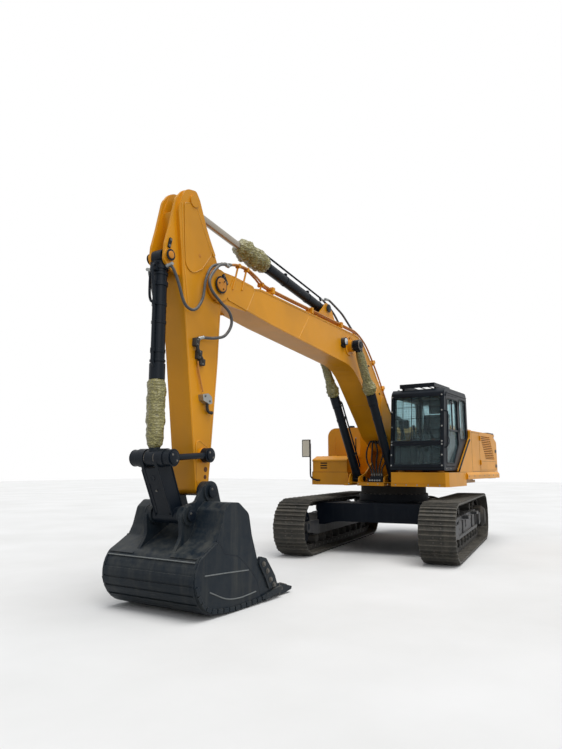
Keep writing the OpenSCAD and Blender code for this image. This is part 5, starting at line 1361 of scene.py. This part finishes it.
def panel_seam_shade(piece, x0, x1, z0, z1, y, side, slot):
    """A dark line of painted shade round a panel on the face at y."""
    t = 0.004
    near, far = sorted((y, y + side * 0.0012))
    for a0, b0, a1, b1 in ((x0, z0, x1, z0 + t), (x0, z1 - t, x1, z1), (x0, z0, x0 + t, z1),
                           (x1 - t, z0, x1, z1)):
        piece.slab((a0, near, b0), (a1, far, b1), slot)


def house_panels(piece):
    """Seams round the panels and along the deck's edge as dark lines of painted shade, and the bolts along
    skirt and step bars.
    """
    piece.slab((-2.38, LEFT - 0.002, 1.498), (1.16, LEFT + 0.0008, 1.5025), 1)
    piece.slab((-0.33, RIGHT - 0.0008, 1.498), (0.95, RIGHT + 0.01, 1.5025), 1)
    piece.slab((0.9505, RIGHT, 1.494), (0.9518, -0.56, 1.4985), 1)
    panel_seam_shade(piece, -0.94, -0.36, 1.51, 2.29, LEFT, 1, 1)
    panel_seam_shade(piece, -0.94, -0.36, 1.51, 2.29, RIGHT, -1, 1)
    piece.slab((-0.3292, RIGHT - 0.0008, 1.51), (-0.326, RIGHT + 0.01, 2.25), 1)
    for y0, y1, x in ((-0.56, 0.46, 1.13), (0.46, 1.5, 1.25)):
        piece.slab((x - 0.01, y0, 1.298), (x + 0.006, y1, 1.308))
        for k in range(5):
            piece.bolt(house(x, y0 + (y1 - y0) * (k + 0.5) / 5, 1.27), AHEAD, 0.009, 2)
    for y, side, first, pitch in ((LEFT, 1, -2.2, 0.37), (RIGHT, -1, -0.75, 0.26)):
        for k in range(7):
            x = first + pitch * k
            out = 0.035 if side > 0 or x < -0.9 else 0.0
            piece.bolt(house(x, y + side * out, 1.42), ACROSS * side, 0.01, 2)
    piece.prism(box(0.62, 1.34, 0.9, 1.43, 0.01), facing_y, RIGHT, RIGHT - 0.003, 3)
    # Dark inserts in the tool box's slots: painted shade
    for i in range(3):
        piece.slab((0.926, -1.2, 1.565 + 0.048 * i), (0.9285, -1.04, 1.591 + 0.048 * i), 1)


def tank_and_mirror(piece):
    """Fuel tank's cap, level gauge, non-slip strip and weld lines; the mirror's face, with its painted
    reflection, in its rim.
    """
    piece.lathe(house(-0.05, -0.95, 2.43), UP,
                [(0, 0.08), (0.02, 0.08), (0.022, 0.065), (0.05, 0.062), (0.06, 0.05)], 32, 3)
    piece.lathe(house(0.2405, -0.72, 1.7), AHEAD, [(0, 0.02), (0.008, 0.018)], 14, 3)
    piece.pipe(house, [(0.248, -0.72, 1.7), (0.248, -0.72, 2.2)], 0.008, 10, 3)
    for z in (1.7, 2.2):
        piece.bolt(house(0.2405, -0.72, z), AHEAD, 0.012, 2)
    piece.slab((-0.28, -1.12, 2.43), (0.18, -1.08, 2.434), 3)
    for y in (-1.2, -0.8):
        piece.pipe(house, [(0.2405, y, 1.52), (0.2405, y, 2.24)], 0.004, 6)

    def on_mirror(a, b, h):
        return house(1.0655 + h, -1.465 + a, 1.98 + b)

    # The mirror's face: its colour is a painted reflection
    face = box(-0.08, -0.165, 0.08, 0.165, 0.02)
    piece.prism(face, on_mirror, 0, 0.004, 4)
    piece.bead([(p.x * 1.09, p.y * 1.05) for p in face], on_mirror, 0.002, 0.008, 5, 8)


def roof_and_counterweight(piece):
    """Raised dots of the roof's strips, lifting eyes, and grooves across the counterweight's sides as dark
    lines of painted shade.
    """
    for y0, y1 in ((1.02, 1.46), (-1.3, -0.86)):
        for i in range(14):
            for k in range(5):
                piece.lathe(house(-2.25 + 0.13 * i, y0 + (y1 - y0) * (k + 0.5) / 5, 2.32), UP,
                            [(0, 0.014), (0.004, 0.011)], 8)
    for y in (-0.7, 0.7):
        half_ring = circle(24, 0.075, (-2.75, 2.38))[:13]
        piece.bead(half_ring, facing_y, y, 0.02, 3, 12, closed=False)
        piece.lathe(house(-2.95, y, 2.379), UP, [(0, 0.05), (0.012, 0.048), (0.014, 0.03)], 24, 3)
    # Grooves drawn as thin dark strips: painted shade
    for z in (1.62, 2.0):
        for side in (-1, 1):
            piece.slab((-2.9, side * 1.3795 - 0.002, z), (-2.42, side * 1.3795 + 0.002, z + 0.006), 1)


def boom_foot_bracket(piece, side):
    """Rib, boss and cylinder pin cover on one plate of the bracket at the boom's foot."""
    y, out = side * 0.279, ACROSS * side
    piece.pipe(house, [(x, y, 1.34) for x in (-0.3, 0.1, 0.6, 1.05)], 0.008, 8)
    piece.lathe(house(BOOM_FOOT.x, side * 0.3105, BOOM_FOOT.y), out, [(0, 0.148), (0.003, 0.144)], 40)
    piece.slab((0.0, y - 0.012, 1.34), (0.02, y + 0.012, 1.8))
    piece.lathe(house(CYL_BASE.x, side * 0.4965, CYL_BASE.y), out,
                [(0, 0.075), (0.012, 0.075), (0.014, 0.05)], 28, 3)
    for x, z in circle(3, 0.06, CYL_BASE):
        piece.bolt(house(x, side * 0.508, z), out, 0.009, 2)


def house_details():
    """Small parts of the house outside the cab."""
    piece = Piece("house_details", "house", YELLOW, SHADE_AND_BLACK, ZINC, BLACK, MIRROR_REFLECTION, PLASTIC)
    house_panels(piece)
    tank_and_mirror(piece)
    roof_and_counterweight(piece)
    for side in (-1, 1):
        boom_foot_bracket(piece, side)
    piece.done()


# A louvre's corners: depth behind the door's face, and height
LOUVRE = ((0.012, 0.0195), (0.009, 0.0195), (0.024, 0.009), (0.027, 0.009))


def door_details(piece, y, side, louvres, screen):
    """Louvres before a dark screen of painted shade and two paddle latches on one rear door."""
    for x, z, width in louvres:
        outline = [(y - side * d, z + up) for d, up in LOUVRE]
        piece.prism(outline, lambda a, b, h: house(h, a, b), x, x + width)
    # A dark sheet behind the louvres: painted shade
    near, far = sorted((y - side * 0.048, y - side * 0.041))
    piece.slab((screen[0], near, screen[2]), (screen[1], far, screen[3]), 3)
    for z in (1.62, 1.95):
        def place(a, b, h):
            return house(-2.26 + a, y + side * h, z + b)

        piece.prism(box(-0.055, -0.035, 0.055, 0.035, 0.012), place, 0, 0.005, 1)
        piece.prism(box(-0.04, -0.022, 0.03, 0.022, 0.008), place, 0.005, 0.012, 1)
        piece.lathe(place(0.042, 0, 0.005), ACROSS * side, [(0, 0.008), (0.004, 0.007)], 12, 2)


def left_door():
    """Slanted louvres, latches and a panel's line of painted shade on the left rear door."""
    piece = Piece("left_door_details", "left_rear_door", PIPE, PLASTIC, ZINC, SHADE_AND_BLACK)
    louvres = [(-2.14 + 0.0285 * i, 1.765 + 0.038 * i, 0.75 + 0.00152 * i) for i in range(13)]
    door_details(piece, LEFT, 1, louvres, (-2.2, -0.98, 1.74, 2.27))
    panel_seam_shade(piece, -2.24, -0.99, 1.53, 1.72, LEFT, 1, 3)
    piece.done()


def right_door():
    """Level louvres, latches and a panel's line of painted shade on the right door."""
    piece = Piece("right_door_details", "right_door", PIPE, PLASTIC, ZINC, SHADE_AND_BLACK)
    louvres = [(-2.12, 1.8 + 0.038 * i, 0.5) for i in range(10)]
    door_details(piece, RIGHT, -1, louvres, (-2.15, -1.58, 1.78, 2.2))
    panel_seam_shade(piece, -1.5, -0.99, 1.6, 2.25, RIGHT, -1, 3)
    piece.done()


def hood_details():
    """Slots as dark strips of painted shade, rails and the exhaust's collar on the hood."""
    piece = Piece("hood_details", "hood", YELLOW, PLASTIC, ZINC, SHADE_AND_BLACK, STEEL)
    # Slots drawn as thin dark strips: painted shade
    for x in (-2.0, -1.2, -0.8):
        for k in range(6):
            piece.slab((x + 0.04 * k, -0.1, 2.4505), (x + 0.02 + 0.04 * k, 0.3, 2.452), 3)
    for y in (-0.6, 0.75):
        rail = ((-2.2, 2.45), (-2.19, 2.5), (-2.1, 2.52), (-1.3, 2.52), (-1.21, 2.5), (-1.2, 2.45))
        piece.pipe(house, [(x, y, z) for x, z in rail], 0.014, 12, steps=5)
    piece.lathe(house(-1.7, -0.56, 2.4505), UP, [(0, 0.085), (0.01, 0.085), (0.012, 0.064), (0.05, 0.064),
                                                 (0.052, 0.068), (0.07, 0.068), (0.072, 0.062)], 32, 4)
    piece.bolt(house(-1.635, -0.56, 2.51), AHEAD, 0.01, 2)
    piece.done()


def lid_details():
    """Raised dots on the tool box's lid."""
    piece = Piece("tool_box_lid_details", "tool_box_lid", YELLOW, SHADE_AND_BLACK, PLASTIC)
    for i in range(4):
        for k in range(7):
            piece.lathe(house(0.36 + 0.1 * i, -1.28 + 0.1 * k, 1.8203), UP,
                        [(0, 0.016), (0.004, 0.012), (0.001, 0.008)], 10)
    piece.done()


house_details()
left_door()
right_door()
hood_details()
lid_details()


# Hoses of the house


def manifold():
    """Manifold before the boom's foot with its ports, and the swing motor with its lines behind the boom."""
    piece = Piece("manifold", "house", BLACK, STEEL, ZINC)
    piece.slab((0.86, -0.1, 1.3), (1.04, 0.22, 1.38))
    piece.slab((0.9, -0.06, 1.38), (1.0, 0.19, 1.42))
    for k in range(5):
        y = -0.04 + 0.05 * k
        piece.lathe(house(1.04, y, 1.34), AHEAD, [(0, 0.018), (0.02, 0.018), (0.022, 0.012), (0.03, 0.012)],
                    6, 2)
        piece.lathe(house(0.94, y, 1.42), Vector((0.1, 0, 1)),
                    [(0, 0.022), (0.03, 0.022), (0.032, 0.028), (0.05, 0.028)], 6, 1)
    piece.lathe(house(-0.6, 0, 1.89), UP, [(0, 0.12), (0.03, 0.12), (0.05, 0.09), (0.12, 0.085)], 32)
    for k in range(4):
        c, s = math.cos(0.5 + math.pi / 2 * k), math.sin(0.5 + math.pi / 2 * k)
        piece.pipe(house, [(-0.6 + 0.13 * c, 0.13 * s, 1.8), (-0.45, 0.3 * s, 1.75), (-0.36, 0.3 * s, 1.6),
                           (-0.35, 0.25 * s, 1.36)], 0.018, 10, steps=6)
    piece.done()


def foot_hoses():
    """Hoses from the manifold, and from behind the boom's foot, to the boom."""
    for k in range(5):
        y = -0.04 + 0.05 * k
        spread = (k - 2) * 0.05
        piece = Piece("hose_manifold_to_boom_%d" % k, None, SEAL, CAST)
        points = [house(0.945, y, 1.46), house(0.965, y + spread * 0.2, 1.56), house(0.95, y + spread, 1.72),
                  house(0.89, y + spread * 1.3, 1.9), on_boom(0.66, 0.03 + spread * 1.1, -0.14),
                  on_boom(0.56, 0.03 + spread, -0.135)]
        hose(piece, points, 0.016, far_end=False)
        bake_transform(piece.done(40))
    for side, tag in ((-1, "right"), (1, "left")):
        for k, y in enumerate((0.13, 0.18)):
            piece = Piece("hose_house_to_pipe_%s_%d" % (tag, k), None, SEAL, CAST)
            points = [on_boom(0.64, side * y, 0.66), on_boom(0.5, side * y, 0.585),
                      on_boom(0.3, side * y, 0.52), house(-0.02, side * y, 2.62),
                      house(-0.16, side * (y + 0.01), 2.38), house(-0.2, side * (y + 0.02), 2.1),
                      house(-0.2, side * (y + 0.02), 1.9)]
            hose(piece, points, 0.019)
            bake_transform(piece.done(40))


manifold()
foot_hoses()


# Engine bay, seen with the doors open


def engine(piece):
    """Rocker cover, ribs, exhaust manifold with its silencer, and pump with hoses."""
    piece.slab((-1.95, -0.25, 2.06), (-1.35, 0.1, 2.17), 1)
    for k in range(9):
        for y in (0.53, -0.64):
            piece.slab((-2.0 + 0.08 * k, y, 1.45), (-1.98 + 0.08 * k, y + 0.02, 2.0))
    for k in range(6):
        piece.bolt(house(-1.9 + 0.1 * k, -0.08, 2.17), UP, 0.012, 2)
        piece.pipe(house, [(-1.95 + 0.11 * k, -0.62, 1.95), (-1.95 + 0.11 * k, -0.7, 1.97),
                           (-1.9 + 0.09 * k, -0.74, 2.05)], 0.028, 10, 4, 5)
    piece.pipe(house, [(-1.95, -0.74, 2.06), (-1.35, -0.74, 2.06)], 0.05, 16, 4)
    piece.lathe(house(-1.7, -0.56, 2.09), UP,
                [(0, 0.05), (0.03, 0.1), (0.17, 0.1), (0.2, 0.055), (0.22, 0.055)], 32, 4)
    piece.lathe(house(-1.6, -0.62, 1.6), -ACROSS, [(0, 0.15), (0.04, 0.15), (0.05, 0.11), (0.3, 0.11),
                                                   (0.32, 0.08), (0.38, 0.08)], 32, 1)
    for k in range(3):
        piece.pipe(house, [(-1.7 + 0.1 * k, -0.85, 1.7), (-1.7 + 0.1 * k, -0.95, 1.85),
                           (-1.3 + 0.1 * k, -1.0, 1.9), (-0.8, -0.9 + 0.08 * k, 1.7),
                           (-0.45, -0.8 + 0.08 * k, 1.62)], 0.02, 10, 3, 7)


def cooler(piece):
    """Cooler at the left with its fins, fan and shroud."""
    piece.slab((-2.28, 1.2, 1.52), (-1.1, 1.32, 2.24), 1)
    for k in range(30):
        piece.slab((-2.24 + 0.038 * k, 1.32, 1.56), (-2.232 + 0.038 * k, 1.328, 2.2), 2)
    piece.lathe(house(-1.7, 0.6, 1.9), ACROSS, [(0, 0.09), (0.4, 0.09), (0.41, 0.12), (0.5, 0.12)], 28, 1)
    for c, s in circle(8):
        def blade(r, w, h):
            return house(-1.7 + r * c - w * s, 1.05 + h + w * 0.5, 1.9 + r * s + w * c)

        piece.prism([(0.12, -0.05), (0.32, -0.07), (0.32, 0.07), (0.12, 0.05)], blade, 0, 0.008, 5)
    piece.bead(circle(40, 0.35, (-1.7, 1.88)), facing_y, 1.12, 0.018, 1, 8)


def engine_bay():
    """Engine, cooler, air filter with its pipe, and battery."""
    piece = Piece("engine_bay_details", "house", CAST, BLACK, ZINC, RUBBER, STEEL, SHADE_AND_BLACK)
    engine(piece)
    cooler(piece)
    piece.lathe(house(-1.0, 0.9, 2.1), -AHEAD,
                [(0, 0.1), (0.02, 0.13), (0.1, 0.13), (0.45, 0.13), (0.47, 0.1)], 32, 5)
    piece.pipe(house, [(-1.46, 0.9, 2.1), (-1.56, 0.85, 2.12), (-1.6, 0.5, 2.14), (-1.6, 0.2, 2.14)], 0.05,
               14, 3, 8)
    piece.slab((-0.9, 1.1, 1.5), (-0.5, 1.45, 1.72), 5)
    for x in (-0.82, -0.58):
        piece.lathe(house(x, 1.3, 1.72), UP, [(0, 0.014), (0.02, 0.012)], 12, 2)
        piece.pipe(house, [(x, 1.3, 1.735), (x + 0.05, 1.2, 1.8), (x + 0.1, 1.0, 1.7), (x + 0.1, 0.8, 1.5)],
                   0.009, 8, 3, 6)
    piece.done()


engine_bay()


def travel_hoses():
    """Lines from the centre joint over the carbody to the travel drives."""
    piece = Piece("travel_hoses", "undercarriage", RUBBER, ZINC, CAST)
    for side in (-1, 1):
        for k in range(3):
            y = 0.12 + 0.05 * k
            route = ((-0.25, y, 1.0), (-0.5, y + 0.05, 0.85), (-1.0, y + 0.2, 0.935 + 0.005 * k),
                     (-1.35, y + 0.35, 0.94), (-1.47, 0.75 + 0.05 * k, 0.8), (-1.52, 1.05 + 0.03 * k, 0.62))
            hose(piece, [tracks(x, side * y, z) for x, y, z in route], 0.015, 10)
    piece.lathe(tracks(0, 0, 0.72), UP, [(0, 0.14), (0.3, 0.14), (0.31, 0.11), (0.36, 0.11)], 32, 2)
    piece.done()


travel_hoses()


# Camera, floor and light

# The photo's long side and focal length in pixels, the sensor's long side in millimetres, and the camera's
# place and view in metres and degrees
PHOTO_H = 749
FOCAL = 602.4
SENSOR = 36
EYE = (11.93, 4.94, 1.59)
YAW, PITCH = 32.88, 8.76


def camera():
    """The photo's camera, fitted."""
    yaw, pitch = math.radians(YAW), math.radians(PITCH)
    data = bpy.data.cameras.new("camera")
    data.sensor_width = SENSOR
    data.lens = FOCAL / PHOTO_H * SENSOR
    data.clip_end = 200
    eye = bpy.data.objects.new("camera", data)
    bpy.context.scene.collection.objects.link(eye)
    eye.location = house(*EYE)
    look = Vector((-math.cos(yaw) * math.cos(pitch), -math.sin(yaw) * math.cos(pitch), math.sin(pitch)))
    eye.rotation_euler = look.to_track_quat("-Z", "Y").to_euler()
    bpy.context.scene.camera = eye


def seen_directly(tree):
    """1 for rays that come straight from the camera, off a mirror or through glass."""
    path = tree.nodes.new("ShaderNodeLightPath")
    total = path.outputs["Is Camera Ray"]
    for name in ("Is Glossy Ray", "Is Transmission Ray"):
        add = tree.nodes.new("ShaderNodeMath")
        add.operation = "ADD"
        add.use_clamp = True
        tree.links.new(total, add.inputs[0])
        tree.links.new(path.outputs[name], add.inputs[1])
        total = add.outputs[0]
    return total


def floor():
    """A pale floor that is a mid grey to the light that bounces off it."""
    s = Shader("floor")
    pale = s.mix(s.span(s.noise(0.4, 5), 0.3, 0.7), srgb(222, 221, 218), srgb(232, 231, 229))
    colour = s.mix(seen_directly(s.tree), srgb(150, 149, 146), pale)
    s.finish(Base_Color=colour, Roughness=0.95, Normal=s.bump(s.noise(90, 4), 0.08, 0.002))
    mesh = bpy.data.meshes.new("floor")
    reach = 60
    mesh.from_pydata([(-reach, -reach, 0), (reach, -reach, 0), (reach, reach, 0), (-reach, reach, 0)], [],
                     [(0, 1, 2, 3)])
    mesh.materials.append(s.material)
    plane = bpy.data.objects.new("floor", mesh)
    bpy.context.scene.collection.objects.link(plane)
    plane.location.z = CAD_BOX[0][2] - 0.001


def light():
    """A white studio that lights the part in grey, a wide lamp from above and a weaker one from the side."""
    world = bpy.data.worlds.new("studio")
    world.use_nodes = True
    bpy.context.scene.world = world
    tree = world.node_tree
    mix = tree.nodes.new("ShaderNodeMix")
    mix.data_type = "RGBA"
    mix.inputs[6].default_value = (0.33, 0.35, 0.38, 1)
    mix.inputs[7].default_value = (1, 1, 1, 1)
    tree.links.new(seen_directly(tree), mix.inputs[0])
    tree.links.new(mix.outputs[2], tree.nodes["Background"].inputs["Color"])
    # Name, direction to it, strength and width in degrees
    for name, direction, strength, angle in (("sky", (0.05, 0.25, 1.0), 2.3, 50),
                                             ("side", (0.4, 0.8, 0.4), 0.75, 40)):
        lamp = bpy.data.lights.new(name, "SUN")
        lamp.energy = strength
        lamp.angle = math.radians(angle)
        holder = bpy.data.objects.new(name, lamp)
        bpy.context.scene.collection.objects.link(holder)
        holder.rotation_euler = Vector(direction).to_track_quat("Z", "Y").to_euler()
    bpy.context.scene.view_settings.view_transform = "Standard"


camera()
floor()
light()
